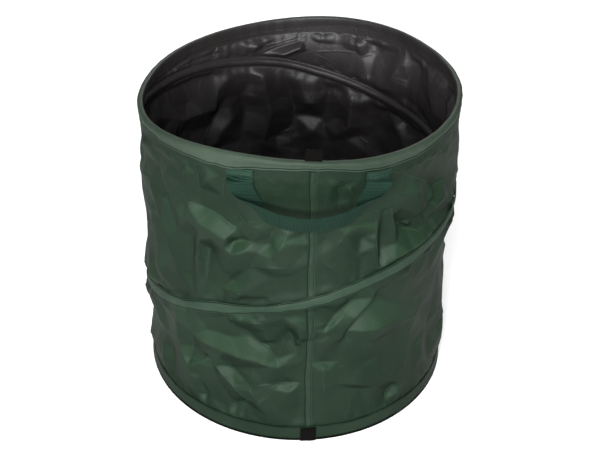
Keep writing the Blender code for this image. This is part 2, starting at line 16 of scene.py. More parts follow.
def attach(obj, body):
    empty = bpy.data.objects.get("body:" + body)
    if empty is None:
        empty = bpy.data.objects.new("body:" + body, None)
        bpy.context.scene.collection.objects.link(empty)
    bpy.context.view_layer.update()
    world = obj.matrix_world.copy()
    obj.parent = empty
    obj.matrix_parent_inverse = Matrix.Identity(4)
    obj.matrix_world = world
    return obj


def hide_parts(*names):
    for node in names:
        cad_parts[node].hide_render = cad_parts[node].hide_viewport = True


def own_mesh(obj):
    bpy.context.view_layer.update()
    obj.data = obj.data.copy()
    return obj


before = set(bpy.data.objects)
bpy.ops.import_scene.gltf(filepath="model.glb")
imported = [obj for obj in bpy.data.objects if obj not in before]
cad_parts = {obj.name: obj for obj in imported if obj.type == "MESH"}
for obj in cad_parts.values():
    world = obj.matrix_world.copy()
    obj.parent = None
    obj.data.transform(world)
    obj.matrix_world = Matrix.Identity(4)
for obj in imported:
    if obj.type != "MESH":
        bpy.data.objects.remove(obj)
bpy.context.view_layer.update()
chance = np.random.default_rng(41)


# Base panel
# The round floor of the bag: one disc of coated polyester, green below and
# black inside, cut to the base hoop and sewn into the base hem.

BASE_PANEL_RADIUS = 0.2703
BASE_PANEL_CLOTH = 0.0009
BASE_PANEL_RINGS = 46
BASE_PANEL_SPOKES = 144
BASE_PANEL_LIFT = 0.0022
CORNER_ANGLE = math.radians(62)


def carry(name, loop, along, across, finishes, finish_of_place, closed):
    """A mesh of one closed outline carried along a line of stations.

    loop holds a point for each place on the outline and each station. Two
    neighbouring places at two neighbouring stations make a quad. The outline
    wraps round, and the stations wrap too when closed. If not, the ends get
    caps of quads between the places that face each other across the outline.
    along and across are the map in metres, one longer than the loop where it
    wraps. finish_of_place picks the finish of the quads above each place.
    """
    places, stations = loop.shape[:2]
    number = np.arange(places * stations).reshape(places, stations)
    number = np.concatenate([number, number[:1]], axis=0)
    if closed:
        number = np.concatenate([number, number[:, :1]], axis=1)
    map_u = np.broadcast_to(along, number.shape)
    map_v = np.broadcast_to(across, number.shape)

    def quads(grid):
        """The four corners of each quad between neighbours of a grid."""
        corners = (grid[:-1, :-1], grid[:-1, 1:], grid[1:, 1:], grid[1:, :-1])
        return np.stack(corners, axis=-1).reshape(-1, 4)

    faces = [quads(number)]
    spans_u = [quads(map_u)]
    spans_v = [quads(map_v)]
    finish = [np.repeat(np.asarray(finish_of_place), number.shape[1] - 1)]
    if not closed:
        low = np.arange(places // 2 - 1)
        high = places - 1 - low
        first_cap = (low, low + 1, high - 1, high)
        last_cap = (low, high, high - 1, low + 1)
        for station, order in ((0, first_cap), (-1, last_cap)):
            faces.append(np.stack([number[row, station] for row in order], axis=-1))
            spans_u.append(np.stack([map_u[row, station] for row in order], axis=-1))
            spans_v.append(np.stack([map_v[row, station] for row in order], axis=-1))
            finish.append(np.zeros(len(low), int))
    faces = np.concatenate(faces)
    mesh = bpy.data.meshes.new(name)
    mesh.vertices.add(places * stations)
    mesh.vertices.foreach_set("co", loop.reshape(-1).astype(np.float32))
    mesh.loops.add(faces.size)
    mesh.loops.foreach_set("vertex_index", faces.reshape(-1).astype(np.int32))
    mesh.polygons.add(len(faces))
    mesh.polygons.foreach_set("loop_start", np.arange(0, faces.size, 4, dtype=np.int32))
    mesh.polygons.foreach_set("material_index", np.concatenate(finish).astype(np.int32))
    mesh.update(calc_edges=True)
    placed = np.stack([np.concatenate(spans).reshape(-1) for spans in (spans_u, spans_v)], axis=-1)
    mesh.uv_layers.new(name="cloth").data.foreach_set("uv", placed.reshape(-1).astype(np.float32))
    for finish_material in finishes:
        mesh.materials.append(finish_material)
    mesh.shade_smooth()
    mesh.set_sharp_from_angle(angle=CORNER_ANGLE)
    piece = bpy.data.objects.new(name, mesh)
    bpy.context.scene.collection.objects.link(piece)
    return piece


def two_layers(outer, thickness, closed):
    """The closed outline of a cloth: its outer layer going up, and its inner one
    coming back, which lies a thickness below it along the surface's normal. The
    normal is the cross product of the slopes along the stations and the places.
    """
    if closed:
        wrapped = np.concatenate([outer[:, -1:], outer, outer[:, :1]], axis=1)
        slope_along = (wrapped[:, 2:] - wrapped[:, :-2]) / 2
    else:
        slope_along = np.gradient(outer, axis=1)
    slope_up = np.gradient(outer, axis=0)
    normal = np.cross(slope_along, slope_up)
    normal /= np.maximum(np.linalg.norm(normal, axis=-1, keepdims=True), 1e-12)
    inner = outer - thickness * normal
    return np.concatenate([outer, inner[::-1]], axis=0)


def round_trip(values):
    """A map value for each place of a two-layered outline: up, back and home."""
    return np.concatenate([values, values[::-1], values[:1]], axis=0)


def both_sides(rows):
    """Finish numbers of a two-layered outline: 0 outside and 1 inside."""
    return np.concatenate([np.zeros(rows), np.ones(rows - 1), [0]]).astype(int)


def wave_table(count, size, smooth):
    """Seeded random heights round a loop, each smoothed with a quarter of both
    neighbours so many times, and scaled until their spread is the size."""
    heights = chance.normal(0, 1, count)
    for step in range(smooth):
        heights = (np.roll(heights, 1) + 2 * heights + np.roll(heights, -1)) / 4
    return size * heights / heights.std()


def ripple(table, share):
    """A looped table read at a share of the way round: between two entries the
    value eases from one to the other as 3 t squared less 2 t cubed."""
    count = len(table)
    place = (share % 1) * count
    low = np.floor(place).astype(int)
    rest = place - low
    ease = rest * rest * (3 - 2 * rest)
    return table[low % count] * (1 - ease) + table[(low + 1) % count] * ease


class Finish:
    """A material's node tree, with short ways to add and join its nodes."""

    def __init__(self, name):
        self.material = bpy.data.materials.new(name)
        self.material.use_nodes = True
        self.tree = self.material.node_tree
        self.surface = self.tree.nodes["Principled BSDF"]

    def add(self, kind, settings=None, **links):
        """A node of a kind. Settings are its own values, and links its inputs."""
        node = self.tree.nodes.new(kind)
        for key, value in (settings or {}).items():
            setattr(node, key, value)
        for key, value in links.items():
            key = int(key[1:]) if key[0] == "_" else key.replace("_", " ")
            if isinstance(value, bpy.types.NodeSocket):
                self.tree.links.new(value, node.inputs[key])
            else:
                node.inputs[key].default_value = value
        return node

    def maths(self, operation, first, second=0.0):
        """One sum of two numbers or sockets."""
        node = self.add("ShaderNodeMath", {"operation": operation}, _0=first, _1=second)
        return node.outputs[0]

    def noise(self, where, scale, detail=3.0, rough=0.5):
        """Soft random mottling from 0 to 1, with so many spots in a metre."""
        node = self.add("ShaderNodeTexNoise", Vector=where, Scale=scale, Detail=detail, Roughness=rough)
        return node.outputs["Fac"]

    def blend(self, share, first, second):
        """A mix of two colours, or of a colour and a colour socket."""
        node = self.add("ShaderNodeMix", {"data_type": "RGBA"}, _0=share, _6=first, _7=second)
        return node.outputs[2]

    def ramp(self, value, low, high):
        """0 below low and 1 above high, with a smooth rise between them."""
        node = self.add("ShaderNodeMapRange", {"interpolation_type": "SMOOTHSTEP"}, Value=value)
        node.inputs["From Min"].default_value = low
        node.inputs["From Max"].default_value = high
        return node.outputs[0]

    def relief(self, height, depth, under=None):
        """A bump of a height from 0 to 1 that is so deep, over another one."""
        node = self.add("ShaderNodeBump", Height=height, Strength=1.0, Distance=depth)
        if under is not None:
            self.tree.links.new(under, node.inputs["Normal"])
        return node.outputs[0]

    def join(self, output, socket):
        """Joins an output to a socket of the surface."""
        self.tree.links.new(output, self.surface.inputs[socket])


THREAD_PITCH = 0.0011
WEAVE_DEPTH = 0.00004
CRINKLE_DEPTH = 0.0003
CREASE_DEPTH = 0.0004
FOLD_LINE_DEPTH = 0.0010


def coated_cloth(
    name, deep, light, crinkle=1.0, folded=0.0, shine=0.16, painted_tilt_light=0.0, painted_mouth_light=0.0
):
    """Coated polyester: a plain weave that shows through its thin shiny coating,
    small crinkles from folding, and a colour that is lighter where it is worn.
    The weave's height is the sine across the warp times the sine across the weft.
    With folded, the main fold lines are worn lighter. With painted_tilt_light, light and shade are
    painted on: facets that face upwards are painted lighter, as if lit, and those that face down
    darker, as if shaded. With painted_mouth_light, the cloth is painted paler towards the bag's mouth,
    as light that reaches in there, and stays dark below."""
    finish = Finish(name)
    where = finish.add("ShaderNodeUVMap", {"uv_map": "cloth"}).outputs[0]
    space = finish.add("ShaderNodeTexCoord").outputs["Object"]
    across = finish.add("ShaderNodeSeparateXYZ", Vector=where)
    rate = 2 * math.pi / THREAD_PITCH
    warp = finish.maths("SINE", finish.maths("MULTIPLY", across.outputs[0], rate))
    weft = finish.maths("SINE", finish.maths("MULTIPLY", across.outputs[1], rate))
    weave = finish.maths("MULTIPLY", warp, weft)
    wide = finish.noise(space, 9.0, 4.0)
    fine = finish.noise(space, 160.0, 4.0, 0.6)
    ridged = {"noise_type": "RIDGED_MULTIFRACTAL"}
    crease = finish.add("ShaderNodeTexNoise", ridged, Vector=space, Scale=26.0)
    crease.inputs["Detail"].default_value = 3.0
    worn = finish.ramp(finish.maths("ADD", wide, finish.maths("MULTIPLY", fine, 0.35)), 0.45, 0.95)
    colour = finish.blend(worn, (*deep, 1), (*light, 1))
    # Painted light: the cloth is painted paler towards the bag's mouth, where light reaches inside, and
    # stays dark below.
    if painted_mouth_light > 0:
        height = finish.add("ShaderNodeSeparateXYZ", Vector=space).outputs[2]
        lit_towards_mouth = finish.maths("MULTIPLY", finish.ramp(height, 0.24, 0.50), painted_mouth_light)
        pale = 2.3 * np.array(light)
        colour = finish.blend(lit_towards_mouth, colour, (*pale, 1))
    rough = finish.add("ShaderNodeMapRange", Value=fine)
    rough.inputs["To Min"].default_value = 0.62
    rough.inputs["To Max"].default_value = 0.78
    finish.join(rough.outputs[0], "Roughness")
    under = finish.relief(weave, WEAVE_DEPTH)
    under = finish.relief(fine, CRINKLE_DEPTH * crinkle, under)
    under = finish.relief(crease.outputs["Fac"], CREASE_DEPTH * crinkle, under)
    if folded > 0:
        side = finish.add("ShaderNodeAttribute", {"attribute_name": "fold_side"}).outputs["Fac"]
        away = finish.add("ShaderNodeAttribute", {"attribute_name": "fold_away"}).outputs["Fac"]
        near = finish.maths("SUBTRACT", 1.0, finish.ramp(away, 0.0022, 0.0045))
        beside = finish.ramp(finish.maths("ABSOLUTE", side), 0.0, 0.0032)
        sharp = finish.maths("SUBTRACT", 1.0, beside)
        broken = finish.ramp(finish.noise(space, 34.0, 2.0), 0.35, 0.62)
        line = finish.maths("MULTIPLY", finish.maths("MULTIPLY", near, sharp), broken)
        rubbed = 2.5 * np.array(light)
        colour = finish.blend(finish.maths("MULTIPLY", line, 0.2 * folded), colour, (*rubbed, 1))
        under = finish.relief(line, FOLD_LINE_DEPTH * folded, under)
        # Painted light and shade: facets that face upwards are painted lighter, and those that face
        # down darker.
        tilt = finish.add("ShaderNodeAttribute", {"attribute_name": "fold_tilt"}).outputs["Fac"]
        lit_upward_facets = finish.ramp(tilt, 0.04, 0.50)
        shaded_downward_facets = finish.ramp(finish.maths("MULTIPLY", tilt, -1.0), 0.04, 0.50)
        painted_shade_tone = 0.5 * np.array(deep)
        painted_light_tone = 2.2 * np.array(light)
        colour = finish.blend(finish.maths("MULTIPLY", shaded_downward_facets, painted_tilt_light), colour, (*painted_shade_tone, 1))
        colour = finish.blend(finish.maths("MULTIPLY", lit_upward_facets, painted_tilt_light), colour, (*painted_light_tone, 1))
    finish.join(colour, "Base Color")
    finish.join(under, "Normal")
    finish.join(under, "Coat Normal")
    finish.surface.inputs["Specular IOR Level"].default_value = 0.02
    finish.surface.inputs["Coat Weight"].default_value = shine
    finish.surface.inputs["Coat IOR"].default_value = 1.5
    finish.surface.inputs["Coat Roughness"].default_value = 0.43
    return finish.material


GREEN_TONES = ((0.0040, 0.0110, 0.0053), (0.0076, 0.0165, 0.0090))
BLACK_TONES = ((0.0034, 0.0029, 0.0030), (0.0115, 0.0102, 0.0103))
green_cloth = coated_cloth("green_cloth", *GREEN_TONES)
# The black is painted paler towards the mouth, as painted light.
black_cloth = coated_cloth("black_inner_cloth", *BLACK_TONES, shine=0.50, painted_mouth_light=0.40)

# The disc is a polar grid: rings of points, the widest first. It lies on the
# floor and lifts a little in a few broad waves, which fade at the hem.
rings = np.linspace(0, 1, BASE_PANEL_RINGS)[::-1, None]
spokes = np.arange(BASE_PANEL_SPOKES)[None, :] / BASE_PANEL_SPOKES
panel_waves = sum(
    np.cos(2 * math.pi * (count * spokes + phase)) * rings**count * (1 - rings) * size
    for count, phase, size in ((2, 0.1, 0.010), (3, 0.6, 0.009), (5, 0.35, 0.008), (7, 0.8, 0.007))
)
panel_lift = BASE_PANEL_LIFT * (1 - rings**6) * (0.5 + 60 * panel_waves).clip(0, 1.6)
panel_height = BASE_PANEL_CLOTH + panel_lift
angle = 2 * math.pi * spokes
panel_top = np.stack(
    [
        BASE_PANEL_RADIUS * rings * np.sin(angle),
        -BASE_PANEL_RADIUS * rings * np.cos(angle),
        panel_height * np.ones_like(angle),
    ],
    axis=-1,
)
panel_loop = np.concatenate([panel_top[::-1] - (0, 0, BASE_PANEL_CLOTH), panel_top], axis=0)
panel_map = np.concatenate([panel_loop, panel_loop[:1]], axis=0)
panel_map = np.concatenate([panel_map, panel_map[:, :1]], axis=1)
base_panel = carry(
    "base_panel_cloth",
    panel_loop,
    panel_map[..., 0],
    panel_map[..., 1],
    (green_cloth, black_cloth),
    1 - both_sides(BASE_PANEL_RINGS)[::-1],
    closed=True,
)


def close_poles(piece, distance=0.00001):
    """Merges the points of a pole, so that the surface is closed there."""
    shape = bmesh.new()
    shape.from_mesh(piece.data)
    bmesh.ops.remove_doubles(shape, verts=shape.verts[:], dist=distance)
    bmesh.ops.dissolve_degenerate(shape, edges=shape.edges[:], dist=distance)
    bmesh.ops.recalc_face_normals(shape, faces=shape.faces[:])
    shape.to_mesh(piece.data)
    shape.free()


def settle(piece, body, node):
    """A piece moves with a body and stands for a node, whose solid is hidden."""
    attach(piece, body)
    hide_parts(node)


close_poles(base_panel)
settle(base_panel, "base", "base_panel")


# Base hem
# The folded edge at the foot of the wall: the cloth turns under the base hoop
# and up inside, and a row of stitches holds it. It is a little puckered.

HEM_RADIUS = 0.280
HEM_CLOTH = 0.0010
BASE_HOOP_RADIUS = 0.2745
BASE_HEM_HEIGHT = 0.030
RING_STATIONS = 720


def around(turn, radius, height):
    """Points at a turn, a radius and a height."""
    turn, radius, height = np.broadcast_arrays(turn, radius, height)
    angle = 2 * math.pi * turn
    return np.stack([radius * np.sin(angle), -radius * np.cos(angle), height], axis=-1)


def smooth_table(table, place):
    """A smooth value through a table of (place, value) entries.

    Between two entries it is the cubic whose slopes there are those of the
    chords across the neighbouring entries.
    """
    places, values = np.array(table, float).T
    slopes = np.empty_like(values)
    slopes[1:-1] = (values[2:] - values[:-2]) / (places[2:] - places[:-2])
    slopes[0] = (values[1] - values[0]) / (places[1] - places[0])
    slopes[-1] = (values[-1] - values[-2]) / (places[-1] - places[-2])
    place = np.clip(place, places[0], places[-1])
    low = np.clip(np.searchsorted(places, place, side="right") - 1, 0, len(places) - 2)
    step = places[low + 1] - places[low]
    share = (place - places[low]) / step
    rest = 1 - share
    return (
        values[low] * rest * rest * (1 + 2 * share)
        + slopes[low] * step * share * rest * rest
        + values[low + 1] * share * share * (3 - 2 * share)
        - slopes[low + 1] * step * share * share * rest
    )


# The rim hem's tones are the wall's green painted lighter, as painted light on the hem.
PAINTED_LIT_HEM_TONES = ((0.0200, 0.0320, 0.0215), (0.0320, 0.0470, 0.0335))
FOOT_TONES = ((0.0050, 0.0130, 0.0064), (0.0100, 0.0205, 0.0115))
hem_cloth = coated_cloth("hem_cloth", *PAINTED_LIT_HEM_TONES, crinkle=0.7)
foot_cloth = coated_cloth("foot_hem_cloth", *FOOT_TONES, crinkle=0.7)

ring_turns = np.arange(RING_STATIONS)[None, :] / RING_STATIONS
ring_map = np.arange(RING_STATIONS + 1)[None, :] / RING_STATIONS * 2 * math.pi * HEM_RADIUS
pucker_fine = wave_table(230, 1.0, 1)
pucker_broad = wave_table(64, 1.0, 1)


def puckers(turn, size):
    """Small uneven waves along a sewn edge: fine ones on broad ones."""
    return size * (0.6 * ripple(pucker_fine, turn) + 0.7 * ripple(pucker_broad, turn))


def foot_flare(turn):
    """How far the foot of the cloth stands outside its hoop: a mean and a cosine
    of twice the angle, so it bulges in front and behind and is drawn in at the
    sides."""
    return 0.0018 + 0.0036 * np.cos(4 * math.pi * turn)


# The outline, as radii and heights. It comes down the inner leg, turns under the
# hoop and climbs the outer one. Its first nine places show the black inner face.
FOOT_INNER_ROWS = 9
foot_path = np.array(
    [
        (0.2707, 0.0180), (0.2706, 0.0140), (0.2706, 0.0110), (0.2705, 0.0080), (0.2705, 0.0050),
        (0.2707, 0.0028), (0.2713, 0.0014), (0.2724, 0.0005), (0.2738, 0.0001), (0.2755, 0.0001),
        (0.2770, 0.0002), (0.2782, 0.0008), (0.2792, 0.0020), (0.2797, 0.0032), (0.2801, 0.0044),
        (0.2806, 0.0065), (0.2808, 0.0092), (0.2807, 0.0125), (0.2803, 0.0170), (0.2801, 0.0220),
        (0.2800, 0.0262), (0.2796, 0.0272), (0.2798, 0.0280), (0.2802, 0.0291), (0.2800, 0.0300),
    ]
)


def running_length(points):
    """The length along a line of points at each of them: the sum of the steps."""
    steps = np.linalg.norm(np.diff(points, axis=0), axis=1)
    return np.concatenate([[0], np.cumsum(steps)])


foot_lengths = running_length(foot_path)[:, None]
foot_outside = np.clip((foot_path[:, 0] - BASE_HOOP_RADIUS) / 0.005, 0, 1)[:, None]
foot_upper = np.clip(foot_path[:, 1] / BASE_HEM_HEIGHT, 0, 1)[:, None]
foot_bulge = foot_flare(ring_turns) + foot_upper * puckers(ring_turns, 0.00035)
foot_radius = foot_path[:, :1] + foot_outside * foot_bulge
foot_height = foot_path[:, 1:] + foot_outside * foot_upper**2 * puckers(ring_turns + 0.37, 0.0007)
foot_rows = len(foot_path)
base_hem = carry(
    "base_hem_cloth",
    two_layers(around(ring_turns, foot_radius, foot_height), HEM_CLOTH, closed=True),
    ring_map,
    round_trip(foot_lengths),
    (foot_cloth, black_cloth),
    np.repeat((1, 0, 1, 0), (FOOT_INNER_ROWS, foot_rows - FOOT_INNER_ROWS, foot_rows - 1, 1)),
    closed=True,
)
settle(base_hem, "base", "base_hem")


# Stitches of the base hem
# One row of green thread closes the hem just under its upper edge. Each stitch
# sinks into the cloth at both ends and swells between them.

STITCH_PITCH = 0.0036
STITCH_REACH = 0.0015
THREAD_RADIUS = 0.00046


def sewing_thread(name, deep, light):
    """Polyester thread: two plies twisted together, a little uneven in tone."""
    finish = Finish(name)
    space = finish.add("ShaderNodeTexCoord").outputs["Object"]
    uneven = finish.noise(space, 320.0, 2.0)
    plies = finish.add("ShaderNodeTexWave", {"bands_direction": "DIAGONAL"}, Vector=space, Scale=1100.0)
    finish.join(finish.blend(uneven, (*deep, 1), (*light, 1)), "Base Color")
    finish.join(finish.relief(plies.outputs["Fac"], 0.00006), "Normal")
    finish.surface.inputs["Roughness"].default_value = 0.6
    finish.surface.inputs["Specular IOR Level"].default_value = 0.1
    return finish.material


def stitch_places(line):
    """Middles, directions and outward directions of the stitches along a line of
    points: one at each pitch of its length. Outwards is away from the bag's axis."""
    lengths = running_length(line)
    spots = (np.arange(int(lengths[-1] / STITCH_PITCH)) + 0.5) * STITCH_PITCH

    def at(distance):
        """Points at distances along the line."""
        return np.stack([np.interp(distance, lengths, line[:, axis]) for axis in range(3)], axis=-1)

    middle = at(spots)
    along = at(spots + STITCH_REACH / 2) - at(spots - STITCH_REACH / 2)
    along /= np.linalg.norm(along, axis=1, keepdims=True)
    outward = middle * (1, 1, 0)
    outward -= (outward * along).sum(axis=1, keepdims=True) * along
    outward /= np.linalg.norm(outward, axis=1, keepdims=True)
    return middle, along, outward


def stitches(name, lines, thread, body):
    """All the stitches along some lines as one piece. A stitch is a spindle: three
    rings of six points and two end points. Its radius is the thread's in the
    middle, and its ends dip below the surface by the thread's radius."""
    placed = zip(*[stitch_places(line) for line in lines])
    middle, along, outward = (np.concatenate(part) for part in placed)
    sideways = np.cross(along, outward)
    slant = np.array([-1, -0.62, 0, 0.62, 1])
    girth = np.array([0, 0.85, 1, 0.85, 0])
    dip = np.array([-1.0, 0.05, 0.45, 0.05, -1.0])
    angle = np.arange(6) / 6 * 2 * math.pi
    ring = [0] + [1] * 6 + [2] * 6 + [3] * 6 + [4]
    round_ring = np.concatenate([[0], np.tile(angle, 3), [0]])
    reach = slant[ring] * STITCH_REACH
    out = (dip[ring] + girth[ring] * np.cos(round_ring)) * THREAD_RADIUS
    beside = girth[ring] * np.sin(round_ring) * THREAD_RADIUS
    points = (
        middle[:, None]
        + reach[None, :, None] * along[:, None]
        + out[None, :, None] * outward[:, None]
        + beside[None, :, None] * sideways[:, None]
    )
    one = [(0, 1 + (side + 1) % 6, 1 + side) for side in range(6)]
    for band in (1, 7):
        for side in range(6):
            after = (side + 1) % 6
            one.append((band + side, band + after, band + 6 + after, band + 6 + side))
    one += [(19, 13 + side, 13 + (side + 1) % 6) for side in range(6)]
    corners = np.concatenate(one)
    sizes = np.array([len(face) for face in one])
    count = len(points)
    mesh = bpy.data.meshes.new(name)
    mesh.vertices.add(count * 20)
    mesh.vertices.foreach_set("co", points.reshape(-1).astype(np.float32))
    mesh.loops.add(count * len(corners))
    numbers = np.arange(count)[:, None] * 20 + corners[None, :]
    mesh.loops.foreach_set("vertex_index", numbers.reshape(-1).astype(np.int32))
    starts = np.concatenate([[0], np.cumsum(np.tile(sizes, count))[:-1]])
    mesh.polygons.add(count * len(one))
    mesh.polygons.foreach_set("loop_start", starts.astype(np.int32))
    mesh.update(calc_edges=True)
    mesh.materials.append(thread)
    mesh.shade_smooth()
    piece = bpy.data.objects.new(name, mesh)
    bpy.context.scene.collection.objects.link(piece)
    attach(piece, body)
    return piece


THREAD_TONES = ((0.0008, 0.0024, 0.0012), (0.0030, 0.0062, 0.0036))
green_thread = sewing_thread("green_thread", *THREAD_TONES)
foot_stitch_row = around(ring_turns, foot_radius[-4:-3] + 0.0001, foot_height[-4:-3])[0]
stitches("base_hem_stitches", [foot_stitch_row], green_thread, "base")

# Painted shade: the cloth is painted darker along a row of stitches, in the groove where it is pulled
# in and shade falls.
STITCH_SHADE_TONES = ((0.0026, 0.0070, 0.0035), (0.0054, 0.0115, 0.0064))
painted_stitch_shade = coated_cloth("painted_stitch_shade_cloth", *STITCH_SHADE_TONES, shine=0.08)


# Base binding
# A narrow dark tape sewn over the lowest edge of the hem, where it rubs.

BINDING_RADIUS = 0.2813
BINDING_TAPE = 0.0010
STRAND_PITCH = 0.0012


def webbing(name, deep, light, roughness, rib=0.0016):
    """Woven webbing: ribs across its length, fine threads and loose fibres. Its
    height is the sine along the length, plus that sine times the sine across."""
    finish = Finish(name)
    where = finish.add("ShaderNodeUVMap", {"uv_map": "cloth"}).outputs[0]
    length_and_width = finish.add("ShaderNodeSeparateXYZ", Vector=where)
    length = length_and_width.outputs[0]
    width = length_and_width.outputs[1]
    wander = finish.noise(where, 220.0, 3.0)
    slipped = finish.maths("ADD", length, finish.maths("MULTIPLY", wander, 0.0009))
    ribs = finish.maths("SINE", finish.maths("MULTIPLY", slipped, 2 * math.pi / rib))
    strands = finish.maths("SINE", finish.maths("MULTIPLY", width, 2 * math.pi / STRAND_PITCH))
    crossed = finish.maths("MULTIPLY", ribs, strands)
    woven = finish.maths("ADD", ribs, finish.maths("MULTIPLY", crossed, 0.4))
    fuzz = finish.noise(where, 900.0, 2.0)
    tone = finish.ramp(finish.maths("ADD", woven, finish.maths("MULTIPLY", wander, 1.5)), -0.8, 2.0)
    finish.join(finish.blend(tone, (*deep, 1), (*light, 1)), "Base Color")
    under = finish.relief(fuzz, 0.00008)
    finish.join(finish.relief(woven, 0.16 * rib, under), "Normal")
    finish.surface.inputs["Roughness"].default_value = roughness
    finish.surface.inputs["Specular IOR Level"].default_value = 0.03
    return finish.material


BLACK_WEBBING_TONES = ((0.0010, 0.0008, 0.0008), (0.0036, 0.0029, 0.0027))
black_webbing = webbing("black_webbing", *BLACK_WEBBING_TONES, 0.72)

# The tape is a band of seven rows of points that bulges as half a sine.
BINDING_ROWS = 7
binding_rows = np.linspace(0, 1, BINDING_ROWS)[:, None]
binding_bulge = 0.0003 * np.sin(math.pi * binding_rows)
binding_outer = around(
    ring_turns,
    BINDING_RADIUS + foot_flare(ring_turns) + binding_bulge,
    0.0004 + 0.0036 * binding_rows + puckers(ring_turns + 0.11, 0.0002) * binding_rows,
)
binding = carry(
    "base_binding_tape",
    two_layers(binding_outer, BINDING_TAPE, closed=True),
    ring_map,
    round_trip(0.004 * binding_rows),
    (black_webbing,),
    np.zeros(2 * BINDING_ROWS),
    closed=True,
)
settle(binding, "base", "base_binding")


# Side wall
# Coated polyester, green outside and black inside. It is cut in three lengths
# that follow the spiral, and they meet under the spiral's casing and under the
# side seam. It hangs drawn in between the hoops, and it is creased all over.

WALL_RADIUS = 0.2787
WALL_CLOTH = 0.0008
BAG_HEIGHT = 0.555
WALL_LENGTH = 2 * math.pi * WALL_RADIUS
SPIRAL_LOW = 0.00795
SPIRAL_HIGH = 0.54705
SPIRAL_CLIMB_SHARES = (
    (-0.69, 0.000), (-0.46, 0.154), (-0.231, 0.327), (0.00, 0.535), (0.08, 0.604), (0.16, 0.639),
    (0.32, 0.717), (0.42, 0.768), (0.55, 0.867), (0.70, 0.929), (0.79, 1.000),
)
SPIRAL_START = SPIRAL_CLIMB_SHARES[0][0]
SPIRAL_END = SPIRAL_CLIMB_SHARES[-1][0]
HALF_CASING = 0.011
SEAM_TURN = 0.0064
WALL_FOOT = 0.0030
WALL_TOP = BAG_HEIGHT - 0.007
FOOT_FLAT = 0.0305
RIM_FLAT = 0.5214
WAIST_DEPTH = 0.011
WAIST_HALF_SPAN = 0.050

# The rim doesn't lie level: how far it stands above or below its mean height,
# in millimetres, as waves round the bag counted from a little left of the front.
RIM_WAVE_START = math.radians(2.45)
RIM_WAVES = ((1, 0.9, 6.1), (2, 6.2, -4.3), (3, 1.2, -2.4), (4, 0.0, -2.0))

# Folds that stand out, as lines over the cloth: each place is the distance along
# the wall to the right of the front, the height, and how far the fold stands out
# or, if negative, lies in. All are millimetres.
FRONT_UPPER_FOLDS = (
    ((-341, 474, 0), (-302, 467, -2), (-290, 426, -4), (-313, 347, -3), (-288, 314, -4),
     (-257, 302, -1)),
    ((-291, 416, 0), (-287, 378, 3), (-272, 350, 5), (-250, 327, 4), (-250, 300, 1)),
    ((-221, 494, -1), (-231, 458, -2), (-223, 435, -1)),
    ((-207, 500, 2), (-212, 468, 4), (-210, 444, 2)),
    ((-185, 499, -1), (-187, 467, -2)),
    ((-210, 446, 2), (-180, 440, -2), (-146, 434, -2), (-116, 419, -1)),
    ((-206, 439, 3), (-175, 415, 5), (-135, 401, 6), (-116, 419, -1)),
    ((-135, 401, 6), (-132, 369, 3), (-125, 334, 1)),
    ((-185, 397, 3), (-186, 349, 4), (-190, 309, 1)),
    ((-210, 371, -2), (-214, 300, -2)),
    ((-175, 362, -3), (-177, 307, -2)),
    ((-247, 410, 0), (-222, 405, 3), (-202, 392, 0)),
    ((-124, 379, 3), (-112, 381, 4), (-99, 388, 3)),
    ((-122, 394, -2), (-106, 400, -2)),
    ((-122, 322, -1), (-115, 308, 3), (-104, 307, 4)),
    ((-134, 510, -2), (-140, 470, -3)),
    ((-114, 458, -1), (-107, 436, -3)),
    ((-94, 439, 0), (-72, 439, 2), (-45, 441, 0)),
    ((-89, 359, 1), (-59, 364, 3), (-30, 366, 3), (-18, 350, 1)),
    ((-22, 436, 2), (-40, 403, 4), (-56, 384, 2)),
    ((-53, 424, -2), (-59, 401, -2)),
    ((25, 541, 0), (40, 528, -3), (55, 512, -5), (55, 490, -5), (56, 470, -2)),
    ((55, 512, -5), (69, 521, -3), (86, 530, -1)),
    ((71, 502, 1), (80, 486, 2)),
    ((37, 510, 1), (32, 483, 2)),
    ((58, 409, 1), (74, 432, 3), (99, 447, 4), (124, 456, 2)),
    ((124, 456, 2), (119, 406, 4), (123, 358, 3)),
    ((136, 449, -2), (135, 397, -4), (129, 350, -2)),
    ((151, 453, 1), (158, 416, 2), (161, 382, 1)),
    ((156, 434, -1), (173, 411, -5), (193, 393, -5), (217, 382, -2)),
    ((192, 405, 0), (225, 425, -4), (275, 438, -4), (312, 436, -1)),
    ((210, 421, 3), (251, 435, 3)),
    ((129, 348, 4), (161, 353, 5), (194, 357, 6), (224, 367, 5), (243, 361, 2)),
    ((146, 523, 0), (197, 494, -2), (270, 447, -4)),
    ((170, 469, 2), (202, 468, 3)),
    ((223, 379, 0), (249, 384, -3), (286, 385, -2)),
    ((265, 410, 2), (294, 409, 2)),
    ((203, 349, -4), (211, 347, -3)),
    ((-86, 402, 0), (-76, 385, 1)),
    ((25, 377, 1), (45, 363, 2)),
    ((77, 393, 1), (96, 373, 0)),
)
